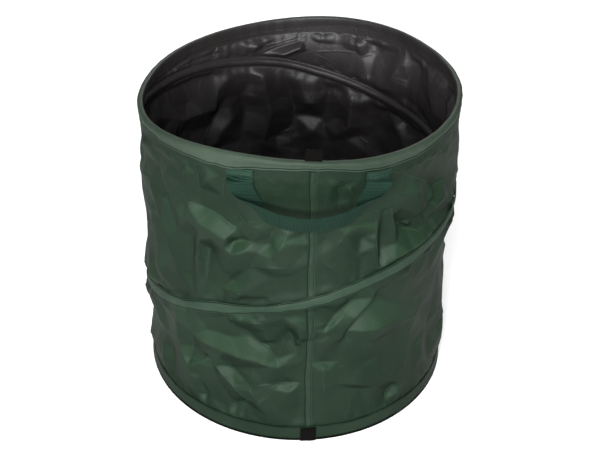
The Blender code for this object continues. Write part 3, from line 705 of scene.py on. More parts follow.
FRONT_LOWER_FOLDS = (
    ((-292, 193, 1), (-228, 186, 5), (-191, 177, 5), (-153, 170, 5), (-117, 168, 5), (-82, 164, 5),
     (-59, 158, 4), (-43, 153, 2)),
    ((-213, 227, 0), (-151, 238, -2), (-103, 217, -3), (-60, 190, -2)),
    ((-116, 248, 2), (-69, 251, 3), (-59, 214, 2)),
    ((-59, 201, -3), (-32, 202, -3), (-44, 169, -2)),
    ((-34, 239, -2), (-25, 226, -5), (-17, 210, -5), (-11, 182, -2)),
    ((-7, 244, 3), (-5, 218, 3), (-10, 206, 1)),
    ((-227, 169, -3), (-226, 133, -4), (-223, 103, -1)),
    ((-220, 100, 3), (-215, 68, 4), (-210, 45, 2)),
    ((-306, 113, -1), (-292, 89, -3), (-282, 67, -2)),
    ((-255, 143, 2), (-245, 113, 3)),
    ((-266, 45, -1), (-241, 30, -2)),
    ((-193, 133, -1), (-181, 128, -5), (-169, 120, -1)),
    ((-179, 152, 2), (-162, 130, 3), (-145, 113, 4), (-126, 99, 4), (-111, 86, 4), (-96, 72, 2)),
    ((-92, 96, 3), (-74, 73, 5), (-56, 44, 2)),
    ((-133, 43, -1), (-119, 55, -3), (-105, 65, -3), (-92, 62, -1)),
    ((-187, 50, -4), (-173, 53, -2)),
    ((-90, 106, 2), (-74, 110, 3), (-56, 113, 1)),
    ((-86, 143, 1), (-90, 124, 2)),
    ((-45, 115, -1), (-24, 114, -3), (-3, 116, -1)),
    ((-45, 103, 1), (-21, 103, 2)),
    ((126, 304, 0), (115, 285, 4), (89, 261, 6), (73, 238, 4), (69, 215, 1)),
    ((135, 307, 0), (129, 281, -4), (100, 243, -5), (81, 221, -4), (73, 199, -2)),
    ((86, 220, -2), (109, 219, 3), (134, 220, 5), (184, 213, 5), (231, 199, 2)),
    ((39, 233, -1), (58, 264, -3), (82, 290, -2)),
    ((25, 163, -1), (44, 157, -3), (68, 154, -1)),
    ((39, 148, 2), (39, 114, 3), (39, 82, 1)),
    ((67, 114, 1), (96, 106, 3), (141, 84, 1)),
    ((72, 99, -1), (110, 87, -2)),
    ((111, 156, 1), (135, 122, 4), (161, 97, 4), (186, 72, 2)),
    ((177, 70, -2), (166, 52, -4), (158, 25, -1)),
    ((194, 72, 3), (183, 52, 3)),
    ((216, 152, 1), (211, 116, 2), (201, 80, 1)),
    ((292, 138, -2), (303, 100, -3)),
    ((255, 116, 2), (269, 77, 1)),
    ((32, 225, 1), (52, 246, 2), (71, 265, 1)),
    ((0, 208, -1), (1, 164, -1)),
    ((88, 67, 1), (78, 39, 1)),
)
SIDE_FOLDS = (
    ((-405, 490, 0), (-405, 468, 3), (-405, 444, 4.8), (-405, 396, 5.9), (-402, 371, 5.9),
     (-408, 346, 4.8), (-405, 320, 3.3), (-400, 295, 2.6), (-402, 256, 1.5), (-405, 230, 4.3),
     (-405, 208, 5)),
    ((-360, 462, 1), (-405, 444, 4.8), (-450, 440, 3)),
    ((-350, 400, 2), (-405, 396, 5.9), (-460, 380, 3)),
    ((-355, 350, 1), (-402, 371, 5.9), (-455, 350, 2)),
    ((-350, 236, 3), (-405, 230, 4.3), (-460, 240, 3)),
    ((-405, 166, 6), (-405, 149, 5.5), (-405, 134, 4.9), (-405, 119, 3.9), (-405, 105, 2),
     (-404, 90, -0.5), (-405, 76, 2), (-405, 62, 4.2), (-405, 48, 4.9), (-405, 36, 4.5)),
    ((-460, 158, 3), (-405, 156, 6), (-350, 150, 4)),
    ((-445, 100, -1), (-404, 90, -0.5), (-345, 104, 0)),
    ((-450, 60, 4), (-405, 58, 4.5), (-360, 52, 3)),
    ((381, 502, 2), (381, 479, 5), (381, 455, 6), (381, 431, 5), (381, 407, 2.9)),
    ((330, 470, 3), (381, 455, 6), (440, 448, 4)),
    ((383, 331, 0), (383, 304, -2.4), (383, 291, -2.3), (383, 265, -1.1), (383, 238, -1.2),
     (383, 212, 0.5), (382, 186, 3), (382, 158, 3.2), (382, 130, 3), (381, 103, 4.6), (381, 75, 6),
     (381, 60, 5), (381, 36, 3.7)),
    ((330, 296, -1), (383, 298, -2.5), (440, 304, -2)),
    ((335, 180, 2), (382, 186, 3), (430, 176, 3)),
    ((330, 70, 3), (381, 75, 6), (440, 84, 4)),
)
BACK_FOLDS = (
    ((855, 549, -1), (846, 541, -4), (817, 535, -5), (791, 548, -2)),
    ((850, 532, 2), (863, 510, 4), (893, 505, 5), (926, 497, 5), (962, 487, 3)),
    ((865, 497, -3), (895, 488, -4), (928, 482, -3)),
    ((747, 551, 0), (732, 519, 4), (721, 499, 3)),
    ((763, 542, -3), (749, 513, -3)),
    ((739, 486, 2), (705, 496, 4), (668, 509, 2)),
    ((875, 480, 3), (815, 487, 5), (754, 491, 3)),
    ((1225, 449, -1), (1135, 403, -4), (1051, 396, -4), (1038, 429, -1)),
    ((1195, 487, 2), (1116, 467, 4), (1042, 456, 3)),
    ((1020, 409, 1), (1044, 372, 4), (1067, 338, 2)),
    ((991, 440, 2), (975, 375, 4), (989, 306, 2)),
    ((941, 443, -3), (924, 364, -4), (941, 298, -2)),
    ((894, 433, 3), (873, 362, 5), (883, 282, 2)),
    ((803, 411, 3), (818, 342, 4), (799, 280, 2)),
    ((757, 407, -3), (758, 340, -4)),
    ((682, 390, 3), (713, 329, 4), (723, 287, 2)),
    ((985, 533, 1), (1003, 509, 4), (1011, 495, 2)),
    ((940, 537, -2), (953, 510, -3)),
    ((1100, 511, 2), (1086, 494, 3)),
    ((631, 527, 1), (606, 496, 4), (607, 454, 2)),
    ((572, 510, -2), (545, 471, -3)),
    ((653, 489, -2), (679, 443, -3)),
)
BACK_FOLDS_COUNT = 56

# How strongly each set of folds shows, and how much all of them stand out.
SIDE_FOLD_SHARE = 0.76
UPPER_FOLD_SHARE = 1.30
BACK_FOLD_SHARE = 1.25
BROAD_RELIEF_SHARE = 2.25
SMALL_FOLD_HEIGHT = 0.0013
RELIEF_STEP = 0.0015
RELIEF_TOP = 0.57
FOLD_PLACE_STEP = 0.007
JOINING_MARGIN = 0.09
RIM_SHAPE_START = 0.38
FLARE_TOP = 0.12
EDGE_FADE = 0.016
GATHER_START = 0.004
GATHER_HEIGHT = 0.0016
GATHER_SLANT = 0.05


def spiral_height(turn):
    """Height of the spiral wire at a turn: its share of the climb between the two
    hoops, and left of the front a bell curve, where the cloth holds it up."""
    held_up = 0.0075 * np.exp(-(((turn + 0.085) / 0.055) ** 2))
    climb = smooth_table(SPIRAL_CLIMB_SHARES, turn) * (SPIRAL_HIGH - SPIRAL_LOW)
    return SPIRAL_LOW + climb + held_up


def rim_lift(turn):
    """How far the rim stands above its mean height: a sum of waves, and a swell
    behind on the right, which is the fifth power of a cosine."""
    angle = 2 * math.pi * turn + RIM_WAVE_START
    waves = sum(
        even * np.cos(count * angle) + odd * np.sin(count * angle) for count, even, odd in RIM_WAVES
    )
    swell = 3.8 * np.clip(np.cos(angle - math.radians(150)), 0, 1) ** 5
    return (waves + swell) / 1000


def rim_spread(turn):
    """How far the rim is out of round: a cosine and a sine of twice the angle."""
    angle = 2 * math.pi * turn + RIM_WAVE_START
    return (-2.0 + 2.0 * np.cos(2 * angle) - 2.2 * np.sin(2 * angle)) / 1000


def rim_share(height):
    """How much a height follows the rim's shape: all at the rim, nothing below
    the upper third, and 3 t squared less 2 t cubed between them."""
    share = np.clip((height - RIM_SHAPE_START) / (BAG_HEIGHT - RIM_SHAPE_START), 0, 1)
    return share * share * (3 - 2 * share)


def warped(turn, radius, height):
    """Points at a turn, a radius and a height, moved with the rim's shape."""
    share = rim_share(height)
    return around(turn, radius + rim_spread(turn) * share, height + rim_lift(turn) * share)


def facets(places, heights):
    """A raster of flat facets between scattered places of given heights.

    The places are joined into triangles so that none holds a fourth place in
    its circle. Inside a triangle the height is the plane through its corners.
    """
    rows = int(RELIEF_TOP / RELIEF_STEP)
    columns = int(round(WALL_LENGTH / RELIEF_STEP))
    near = places[:, 0] < JOINING_MARGIN
    far = places[:, 0] > WALL_LENGTH - JOINING_MARGIN
    ahead = places[near] + (WALL_LENGTH, 0)
    behind = places[far] - (WALL_LENGTH, 0)
    joined = np.concatenate([places, ahead, behind])
    levels = np.concatenate([heights, heights[near], heights[far]])
    found = delaunay_2d_cdt([Vector(place) for place in joined], [], [], 0, 1e-7)
    corners = np.array([tuple(point) for point in found[0]])
    level = np.array([levels[source].mean() if len(source) else 0.0 for source in found[3]])
    raster = np.zeros((rows, columns), np.float32)
    for triangle in found[2]:
        spots = corners[list(triangle)]
        first = np.maximum(np.floor(spots.min(axis=0) / RELIEF_STEP).astype(int), 0)
        last = np.ceil(spots.max(axis=0) / RELIEF_STEP).astype(int) + 1
        last = np.minimum(last, (columns, rows))
        if (last <= first).any():
            continue
        columns_seen = np.arange(first[0], last[0]) * RELIEF_STEP
        rows_seen = np.arange(first[1], last[1]) * RELIEF_STEP
        across, up = np.meshgrid(columns_seen, rows_seen)
        side_a = spots[1] - spots[0]
        side_b = spots[2] - spots[0]
        area = side_a[0] * side_b[1] - side_a[1] * side_b[0]
        if abs(area) < 1e-12:
            continue
        part_b = ((across - spots[0, 0]) * side_b[1] - (up - spots[0, 1]) * side_b[0]) / area
        part_c = ((up - spots[0, 1]) * side_a[0] - (across - spots[0, 0]) * side_a[1]) / area
        inside = (part_b >= -1e-6) & (part_c >= -1e-6) & (part_b + part_c <= 1 + 1e-6)
        low, middle, high = level[list(triangle)]
        plane = low + part_b * (middle - low) + part_c * (high - low)
        window = raster[first[1]:last[1], first[0]:last[0]]
        window[inside] = plane[inside]
    return raster


def scattered(spacing, jitter):
    """Places on a grid over the whole wall, a spacing apart. Every other row is
    shifted by half a step, and each place is shaken by a share of the spacing."""
    columns = int(round(WALL_LENGTH / spacing))
    rows = int(0.60 / spacing) + 1
    across, up = np.meshgrid(
        np.arange(columns) * WALL_LENGTH / columns, np.arange(rows) * spacing - 0.01
    )
    across = across + (np.arange(rows)[:, None] % 2) * spacing / 2
    places = np.stack([across, up], axis=-1).reshape(-1, 2)
    places = places + chance.uniform(-jitter, jitter, places.shape) * spacing
    places[:, 0] %= WALL_LENGTH
    return places


def fold_places(folds):
    """Places evenly along fold lines, with their heights."""
    spots = []
    for line in folds:
        points = np.array(line, float) / 1000
        lengths = running_length(points[:, :2])
        steps = np.linspace(0, lengths[-1], max(2, int(lengths[-1] / FOLD_PLACE_STEP) + 1))
        along = [np.interp(steps, lengths, points[:, axis]) for axis in range(3)]
        spots.append(np.stack(along, axis=-1))
    spots = np.concatenate(spots)
    spots[:, 0] %= WALL_LENGTH
    return spots


def scattered_folds():
    """The main folds behind: short lines in an even scatter, each turned from the
    one before by the golden angle, and two out of three of them standing out."""
    folds = []
    for number in range(BACK_FOLDS_COUNT):
        turn = 0.19 + 0.62 * (number * 0.618 % 1)
        height = (number + 0.5) / BACK_FOLDS_COUNT * BAG_HEIGHT
        middle = np.array([turn * WALL_LENGTH, height]) * 1000
        angle = number * math.radians(137.5)
        reach = 45 * np.array([math.cos(angle), math.sin(angle)])
        rise = (4.6, 3.4, -3.0)[number % 3]
        bend = chance.uniform(-7, 7) * np.array([-math.sin(angle), math.cos(angle)])
        folds.append(
            (
                (*(middle - reach), 0.5 * rise),
                (*(middle - reach / 3 + bend), rise),
                (*(middle + reach / 3), rise),
                (*(middle + reach - bend), 0.4 * rise),
            )
        )
    return folds


def apart(places, others, gap):
    """Which places lie more than a gap from all the others, also across the line
    where the wall closes."""
    between = places[:, None] - others[None, :, :2]
    between[..., 0] -= WALL_LENGTH * np.round(between[..., 0] / WALL_LENGTH)
    return (np.linalg.norm(between, axis=-1) > gap).all(axis=1)


def soften(raster):
    """A raster in which each value keeps half of itself and takes a quarter of
    both neighbours, along and then up, so that a crease is a narrow bend."""
    raster = (np.roll(raster, 1, axis=1) + 2 * raster + np.roll(raster, -1, axis=1)) / 4
    above = np.concatenate([raster[1:], raster[-1:]])
    below = np.concatenate([raster[:1], raster[:-1]])
    return (above + 2 * raster + below) / 4


side_places = fold_places(SIDE_FOLDS) * (1, 1, SIDE_FOLD_SHARE)
upper_places = fold_places(FRONT_UPPER_FOLDS) * (1, 1, UPPER_FOLD_SHARE)
back_places = fold_places(BACK_FOLDS) * (1, 1, BACK_FOLD_SHARE)
given = np.concatenate([upper_places, fold_places(FRONT_LOWER_FOLDS), back_places, side_places])
behind_folds = scattered_folds()
extra = fold_places(behind_folds)
extra = extra[apart(extra[:, :2], given, 0.024)]
known = np.concatenate([given, extra])
filler = scattered(0.034, 0.42)
filler = filler[apart(filler, known, 0.019)]
in_front = np.minimum(filler[:, 0], WALL_LENGTH - filler[:, 0]) < 0.33
filler_heights = chance.normal(0, 1, len(filler)) * np.where(in_front, 0.0013, 0.0020)
broad_relief = facets(
    np.concatenate([known[:, :2], filler]), np.concatenate([known[:, 2], filler_heights])
)
small_places = scattered(0.021, 0.48)
small_relief = facets(small_places, chance.normal(0, SMALL_FOLD_HEIGHT, len(small_places)))
patch_places = scattered(0.075, 0.45)
patch_share = np.clip(facets(patch_places, chance.uniform(-0.3, 1.2, len(patch_places))), 0.15, 1)
wall_relief = BROAD_RELIEF_SHARE * soften(broad_relief) + soften(small_relief) * patch_share

# The cloth lies quieter behind the front handle, and behind the back one it is
# pushed in. Neither handle lets it stand out.
HANDLE_TURN = 0.00367
HANDLE_SHADOW_HALF_WIDTH = 0.165
HANDLE_SHADOW_FOOT = 0.405
HANDLE_SHADOW_FADE = 0.03
raster_rows, raster_columns = wall_relief.shape
raster_up = np.arange(raster_rows)[:, None] * RELIEF_STEP
raster_turn = np.arange(raster_columns)[None, :] / raster_columns
from_handle = np.abs((raster_turn - HANDLE_TURN + 0.25) % 0.5 - 0.25) * WALL_LENGTH
beside_handle = np.clip((HANDLE_SHADOW_HALF_WIDTH - from_handle) / HANDLE_SHADOW_FADE, 0, 1)
behind_handle = beside_handle * np.clip((raster_up - HANDLE_SHADOW_FOOT) / HANDLE_SHADOW_FADE, 0, 1)
at_back = np.abs(raster_turn - 0.5) < 0.25
wall_relief = wall_relief * (1 - np.where(at_back, 0.1, 0.5) * behind_handle)
wall_relief = wall_relief - np.where(at_back, 0.005, 0.0) * behind_handle
wall_relief = np.minimum(wall_relief, 0.0004 + 0.012 * (1 - behind_handle))


def fold_distances(folds):
    """Rasters of the distance to the nearest fold line: signed by the side of the
    line that a place is on, which makes a sharp line at zero, and unsigned. The
    distance is taken to the nearest point of each straight part, which lies at a
    share of it, from 0 to 1."""
    signed = np.full((raster_rows, raster_columns), 0.05, np.float32)
    reach = int(0.024 / RELIEF_STEP)
    for line in folds:
        for first, last in zip(line[:-1], line[1:]):
            start = np.array(first[:2]) / 1000
            end = np.array(last[:2]) / 1000
            along = end - start
            length = np.linalg.norm(along)
            low = np.floor(np.minimum(start, end) / RELIEF_STEP).astype(int) - reach
            high = np.ceil(np.maximum(start, end) / RELIEF_STEP).astype(int) + reach
            column, row = np.meshgrid(
                np.arange(low[0], high[0]), np.arange(max(low[1], 0), min(high[1], raster_rows))
            )
            across = column * RELIEF_STEP - start[0]
            up = row * RELIEF_STEP - start[1]
            share = np.clip((across * along[0] + up * along[1]) / length**2, 0, 1)
            away = np.hypot(across - share * along[0], up - share * along[1])
            side = np.where(along[0] * up - along[1] * across >= 0, 1.0, -1.0)
            looped = column % raster_columns
            window = signed[row, looped]
            signed[row, looped] = np.where(away < np.abs(window), side * away, window)
    return signed, np.abs(signed)


# How the cloth tilts: positive where the relief falls back with height. The green's finish paints light
# and shade from it.
above_relief = np.concatenate([wall_relief[2:], wall_relief[-2:]])
below_relief = np.concatenate([wall_relief[:2], wall_relief[:-2]])
fold_tilt = soften((below_relief - above_relief) / (4 * RELIEF_STEP))
worn_folds = FRONT_UPPER_FOLDS + FRONT_LOWER_FOLDS + BACK_FOLDS + tuple(behind_folds)
fold_side, fold_away = fold_distances(worn_folds)


def raster_at(raster, turn, height):
    """A raster of the wall read at places: the four values round each place, each
    weighted by how near it is along and up."""
    across = (turn % 1) * raster_columns
    up = np.clip(height / RELIEF_STEP, 0, raster_rows - 1.001)
    across, up = np.broadcast_arrays(across, up)
    column = np.floor(across).astype(int)
    row = np.floor(up).astype(int)
    right = across - column
    above = up - row
    here = column % raster_columns
    after = (column + 1) % raster_columns
    return (
        raster[row, here] * (1 - right) * (1 - above)
        + raster[row, after] * right * (1 - above)
        + raster[row + 1, here] * (1 - right) * above
        + raster[row + 1, after] * right * above
    )


def strip_edges(place):
    """The lower and upper edge of the wall's cloth at a place along the spiral,
    where it is one turn from the wind below to the wind above. Past an end of
    the spiral the edge is the foot or the rim."""
    low = np.where(place < SPIRAL_START, WALL_FOOT, spiral_height(place))
    high = np.where(place + 1 > SPIRAL_END, WALL_TOP, spiral_height(place + 1))
    return low, high


gather_table = wave_table(190, 1.0, 0)
gather_lean = wave_table(40, 1.0, 1)


def wall_surface(place, height):
    """The wall's outer radius at a place along the spiral and a height.

    Between the flat strips at its two edges the cloth is drawn in by a parabola.
    The folds are added there, and small gathers that fade away from the edges.
    Near the floor it flares with the hem.
    """
    low, high = strip_edges(place)
    below = np.where(place < SPIRAL_START, FOOT_FLAT, low + HALF_CASING)
    above = np.where(place + 1 > SPIRAL_END, RIM_FLAT, high - HALF_CASING)
    span = np.maximum(above - below, 0.001)
    share = np.clip((height - below) / span, 0, 1)
    waist = WAIST_DEPTH * span / (span + WAIST_HALF_SPAN) * 4 * share * (1 - share)
    from_edge = np.maximum(np.minimum(height - below, above - height), 0)
    inside = np.clip(from_edge / EDGE_FADE, 0, 1)
    inside = inside * inside * (3 - 2 * inside)
    lean = place + from_edge * GATHER_SLANT * ripple(gather_lean, place)
    fading = np.exp(-from_edge / EDGE_FADE) * np.clip(from_edge / GATHER_START, 0, 1)
    gathers = GATHER_HEIGHT * ripple(gather_table, lean) * fading
    flare = foot_flare(place) * np.clip(1 - height / FLARE_TOP, 0, 1)
    return WALL_RADIUS + flare - waist + inside * raster_at(wall_relief, place, height) + gathers


# The creased green is painted lighter on facets that face up and darker on those that face down, as
# painted light and shade.
creased_green = coated_cloth("creased_green_cloth", *GREEN_TONES, folded=0.8, painted_tilt_light=0.52)
# The creased black is painted paler towards the mouth, as painted light.
creased_black = coated_cloth(
    "creased_black_cloth", *BLACK_TONES, folded=0.45, shine=0.58, painted_mouth_light=0.45
)

# Each length of cloth: where it starts and ends along the spiral, and the number
# of points along and up it.
WALL_LENGTHS = (
    ("side_wall_foot", -1.672, SEAM_TURN - 1, 400, 112),
    ("side_wall_middle", SEAM_TURN - 1, SEAM_TURN, 420, 112),
    ("side_wall_rim", SEAM_TURN, 0.772, 430, 100),
)

# What the cloth's finish reads at each point: the folds' distances and tilts.
FOLD_RASTERS = (("fold_side", fold_side), ("fold_away", fold_away), ("fold_tilt", fold_tilt))


def press_flat(piece):
    """The piece gets a mesh of its own."""
    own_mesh(piece)


wall_pieces = []
for name, start, end, stations, rows in WALL_LENGTHS:
    strip = np.linspace(start, end, stations)[None, :]
    lower, upper = strip_edges(strip)
    height = lower + np.linspace(0, 1, rows)[:, None] * (upper - lower)
    radius = wall_surface(strip, height)
    outer = warped(strip, radius, height)
    wall = carry(
        name,
        two_layers(outer, WALL_CLOTH, closed=False),
        strip * WALL_LENGTH,
        round_trip(height),
        (creased_green, creased_black),
        both_sides(rows),
        closed=False,
    )
    for label, raster in FOLD_RASTERS:
        layer = raster_at(raster, strip, height)
        both = np.concatenate([layer, layer[::-1]], axis=0).reshape(-1).astype(np.float32)
        wall.data.attributes.new(label, "FLOAT", "POINT").data.foreach_set("value", both)
    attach(wall, "base")
    wall_pieces.append(wall)
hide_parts("bag_wall")
for wall in wall_pieces:
    press_flat(wall)


# Spiral casing
# A tape of the same cloth, sewn over the outside of the wall along the spiral
# with a row of stitches at each edge. The wire pushes its middle out.

CASING_ROWS = 23
CASING_LOWEST = 0.0200
CASING_LIFT = 0.0009
CASING_ARCH = 0.0021
CASING_PUCKER = 0.00085
STITCH_GROOVE = 0.0009
CASING_TONES = ((0.0110, 0.0240, 0.0138), (0.0200, 0.0360, 0.0230))
casing_turns = np.linspace(-0.683, 0.752, 860)[None, :]
casing_across = np.linspace(-1, 1, CASING_ROWS)[:, None]
casing_fine = wave_table(260, 1.0, 1)
casing_broad = wave_table(48, 1.0, 1)
casing_height = (
    spiral_height(casing_turns)
    + HALF_CASING * casing_across
    + 0.0013 * ripple(casing_broad, casing_turns) * casing_across
    + 0.0012 * ripple(casing_broad, casing_turns + 0.29)
)
casing_arch = CASING_ARCH * (1 - casing_across**2) ** 0.8
casing_pucker = ripple(casing_fine, casing_turns + 0.002 * casing_across)
casing_pucker = casing_pucker * (0.25 + 0.75 * casing_across**2)
casing_stitch = np.exp(-(((np.abs(casing_across) - 0.80) / 0.07) ** 2))

# Near the foot the tape lies flat, since it runs into the base hem there.
casing_keep = np.clip((casing_height - 0.030) / 0.008, 0, 1)
casing_radius = (
    WALL_RADIUS
    + foot_flare(casing_turns) * np.clip(1 - casing_height / FLARE_TOP, 0, 1)
    + CASING_LIFT
    + casing_keep
    * (0.0005 + casing_arch + CASING_PUCKER * casing_pucker - STITCH_GROOVE * casing_stitch)
)
casing_outer = warped(casing_turns, casing_radius, np.maximum(casing_height, CASING_LOWEST))
casing_cloth = coated_cloth("casing_cloth", *CASING_TONES, crinkle=2.2)

# The bands of cloth on both sides of the third row from each edge are painted darker, as shade along
# the stitches.
casing = carry(
    "spiral_casing_tape",
    two_layers(casing_outer, WALL_CLOTH, closed=False),
    casing_turns * WALL_LENGTH,
    round_trip(HALF_CASING * casing_across),
    (casing_cloth, painted_stitch_shade),
    np.isin(np.arange(2 * CASING_ROWS), (1, 2, 19, 20)).astype(int),
    closed=False,
)
settle(casing, "base", "spiral_casing")
press_flat(casing)


# Stitches of the casing
# The casing is sewn down along both of its edges, through the wall and into the
# sleeve behind it.

casing_stitches = stitches(
    "casing_stitches", [casing_outer[2], casing_outer[20]], green_thread, "base"
)
press_flat(casing_stitches)


# Spiral sleeve
# A strip of the black cloth, sewn inside the wall over the wire, so that the
# spring runs in a channel. It shows inside as a soft ridge.

SLEEVE_HALF_WIDTH = 0.0105
SLEEVE_ROWS = 21
SLEEVE_LIFT = 0.0011
SLEEVE_RIDGE = 0.0056
sleeve_turns = np.linspace(-0.655, 0.745, 760)[None, :]
sleeve_across = np.linspace(1, -1, SLEEVE_ROWS)[:, None]
sleeve_fine = wave_table(210, 1.0, 1)
sleeve_ridge = np.clip(1 - np.abs(sleeve_across / 0.72) ** 2.4, 0, 1) ** 0.8
sleeve_radius = (
    WALL_RADIUS
    - WALL_CLOTH
    - SLEEVE_LIFT
    - SLEEVE_RIDGE * sleeve_ridge * (1 + 0.06 * ripple(sleeve_fine, sleeve_turns))
    - 0.0003 * ripple(sleeve_fine, sleeve_turns + 0.31) * sleeve_across**2
)
sleeve_height = (
    spiral_height(sleeve_turns)
    + SLEEVE_HALF_WIDTH * sleeve_across
    + 0.0007 * ripple(casing_broad, sleeve_turns + 0.4)
)
sleeve = carry(
    "spiral_sleeve_cloth",
    two_layers(warped(sleeve_turns, sleeve_radius, sleeve_height), WALL_CLOTH, closed=False),
    sleeve_turns * WALL_LENGTH,
    round_trip(SLEEVE_HALF_WIDTH * sleeve_across),
    (black_cloth,),
    np.zeros(2 * SLEEVE_ROWS),
    closed=False,
)
settle(sleeve, "base", "spiral_sleeve")
press_flat(sleeve)


# Side seams
# The flat felled seam that closes the wall on the front, above and below the
# casing: a folded strip with a row of stitches along each edge.

SEAM_HALF_WIDTH = 0.0075
SEAM_CLOTH = 0.0009
SEAM_COLUMNS = 13
SEAM_LIFT = 0.0013
SEAM_TOP = 0.5385
SEAM_FOOT = 0.0290
SEAM_GAP = 0.0005
SEAM_TONES = ((0.0062, 0.0155, 0.0080), (0.0110, 0.0225, 0.0130))
seam_cloth = coated_cloth("seam_cloth", *SEAM_TONES, crinkle=1.2)


def seam_strip(name, place, low, high, rows, node):
    """A strip up the wall. It follows the mean of the wall's surface under each place and under the
    strip's middle, never inside the wall, and stands out from it, less along its two rows of stitches.
    The faces at the left row are painted dark, as shade along the stitches."""
    across = np.linspace(-1, 1, SEAM_COLUMNS)[None, :]
    up = np.linspace(low, high, rows)[:, None]
    wander = 0.0009 * np.sin(up * 31 + 1.0) + 0.0006 * np.sin(up * 83)
    turns = place + (across * SEAM_HALF_WIDTH + wander) / WALL_LENGTH
    under = wall_surface(turns, up)
    shared = 0.5 * under + 0.5 * wall_surface(place + wander / WALL_LENGTH, up)
    stitch = np.exp(-(((np.abs(across) - 0.72) / 0.12) ** 2))
    middle = 0.0005 * np.exp(-((across / 0.3) ** 2))
    radius = np.maximum(shared, under) + SEAM_LIFT - STITCH_GROOVE * stitch + middle
    outer = warped(turns, radius, up)
    strip = carry(
        name,
        two_layers(outer, SEAM_CLOTH, closed=False),
        turns[:1] * WALL_LENGTH,
        round_trip(up),
        (seam_cloth, painted_stitch_shade),
        np.zeros(2 * rows),
        closed=False,
    )
    # Painted shade: the faces beside the left row of stitches take the darker cloth.
    faces_across = SEAM_COLUMNS - 1
    shaded_faces = np.zeros(len(strip.data.polygons), np.int32)
    for column in (1, 2):
        shaded_faces[column:faces_across * rows:faces_across] = 1
    strip.data.polygons.foreach_set("material_index", shaded_faces)
    settle(strip, "base", node)
    press_flat(strip)
    stitch_lines = [outer[:, 2], outer[:, 10]]
    sewn = stitches(name + "_stitches", stitch_lines, green_thread, "base")
    press_flat(sewn)


seam_low = float(spiral_height(SEAM_TURN)) - HALF_CASING - SEAM_GAP
seam_high = float(spiral_height(SEAM_TURN)) + HALF_CASING + SEAM_GAP
seam_strip("side_seam_strip_upper", SEAM_TURN, seam_high, SEAM_TOP, 150, "side_seam_upper")
seam_strip("side_seam_strip_lower", SEAM_TURN - 1, SEAM_FOOT, seam_low, 170, "side_seam_lower")


# Rim hem
# The wall's upper edge, folded over the rim hoop: a green outside that turns over the wire, painted
# lighter than the wall as light falling on it, and the black of the inner face below it. One row of
# stitches closes it, and its depth varies where the handles pull at it.

# Depth of the hem's outer leg, in millimetres, against the angle in degrees
# from the front towards the right.
HEM_DEPTHS = (
    (-180, 21), (-120, 20), (-90, 17), (-62, 17), (-52, 20), (-42, 22), (-34, 26), (-26, 27),
    (-18, 22), (-10, 17), (-2, 14), (3, 14), (7, 15), (14, 18), (20, 21), (28, 22), (36, 20),
    (45, 17), (54, 15), (62, 17), (90, 20), (130, 22), (180, 21),
)
hem_inner_drop = wave_table(46, 0.0030, 1)


def hem_bottom(turn):
    """Height of the lower edge of the hem's outer leg: the rim's less the depth
    that the table gives for the angle."""
    degrees = ((turn + 0.5) % 1 - 0.5) * 360
    return BAG_HEIGHT + rim_lift(turn) - smooth_table(HEM_DEPTHS, degrees) / 1000


# The outline: radius, height as a share of the outer depth, and millimetres
# more. It climbs the outer leg, turns over the wire and hangs down inside, where
# the inner leg starts at row 18.
HEM_INNER_LEG = 18
HEM_USUAL_DEPTH = 0.02
RIM_PATH = np.array(
    [
        (0.2803, 0.00, 0.0), (0.2804, 0.00, 0.7), (0.2797, 0.00, 1.6), (0.2790, 0.00, 2.4),
        (0.2797, 0.00, 3.2), (0.2800, 0.12, 3.4), (0.2798, 0.28, 2.4), (0.2806, 0.40, 1.4),
        (0.2812, 0.54, 0.6), (0.2812, 0.70, 0.0), (0.2804, 0.83, 0.0), (0.2790, 0.93, -0.2),
        (0.2774, 1.00, -0.6), (0.2762, 1.00, 0.0), (0.2750, 1.00, -0.25), (0.2745, 1.00, -0.45),
        (0.2738, 1.00, -0.2), (0.2727, 1.00, -0.3), (0.2717, 1.00, -1.0), (0.2710, 1.00, -2.3),
        (0.2706, 1.00, -4.5), (0.2705, 1.00, -7.5), (0.2706, 1.00, -10.5), (0.2708, 1.00, -13.5),
        (0.2709, 1.00, -16.5), (0.2710, 1.00, -18.3), (0.2708, 1.00, -20.0),
    ]
)
rim_rows = len(RIM_PATH)
rim_bottom = hem_bottom(ring_turns)
rim_depth = BAG_HEIGHT + rim_lift(ring_turns) - rim_bottom
rim_height = rim_bottom + RIM_PATH[:, 1:2] * rim_depth + RIM_PATH[:, 2:] / 1000
inner_row = np.arange(rim_rows) - HEM_INNER_LEG
leg_share = np.clip(inner_row / (rim_rows - 1 - HEM_INNER_LEG), 0, 1)[:, None]
rim_height = rim_height - leg_share * ripple(hem_inner_drop, ring_turns)

# How freely each row of the outline puckers: least over the wire.
PUCKER_SHARES = ((0, 1.0), (8, 0.9), (12, 0.35), (17, 0.25), (20, 0.6), (rim_rows - 1, 1.2))
loose = np.interp(np.arange(rim_rows), *np.transpose(PUCKER_SHARES))[:, None]
rim_pucker = puckers(ring_turns + 0.004 * RIM_PATH[:, 1:2], 0.0007)
rim_radius = RIM_PATH[:, :1] + rim_spread(ring_turns) + loose * rim_pucker
rim_height = rim_height + np.clip(1 - RIM_PATH[:, 1:2], 0, 1) * puckers(ring_turns + 0.23, 0.0010)
rim_line = np.stack([RIM_PATH[:, 0], RIM_PATH[:, 1] * HEM_USUAL_DEPTH + RIM_PATH[:, 2] / 1000], axis=-1)
rim_lengths = running_length(rim_line)[:, None]

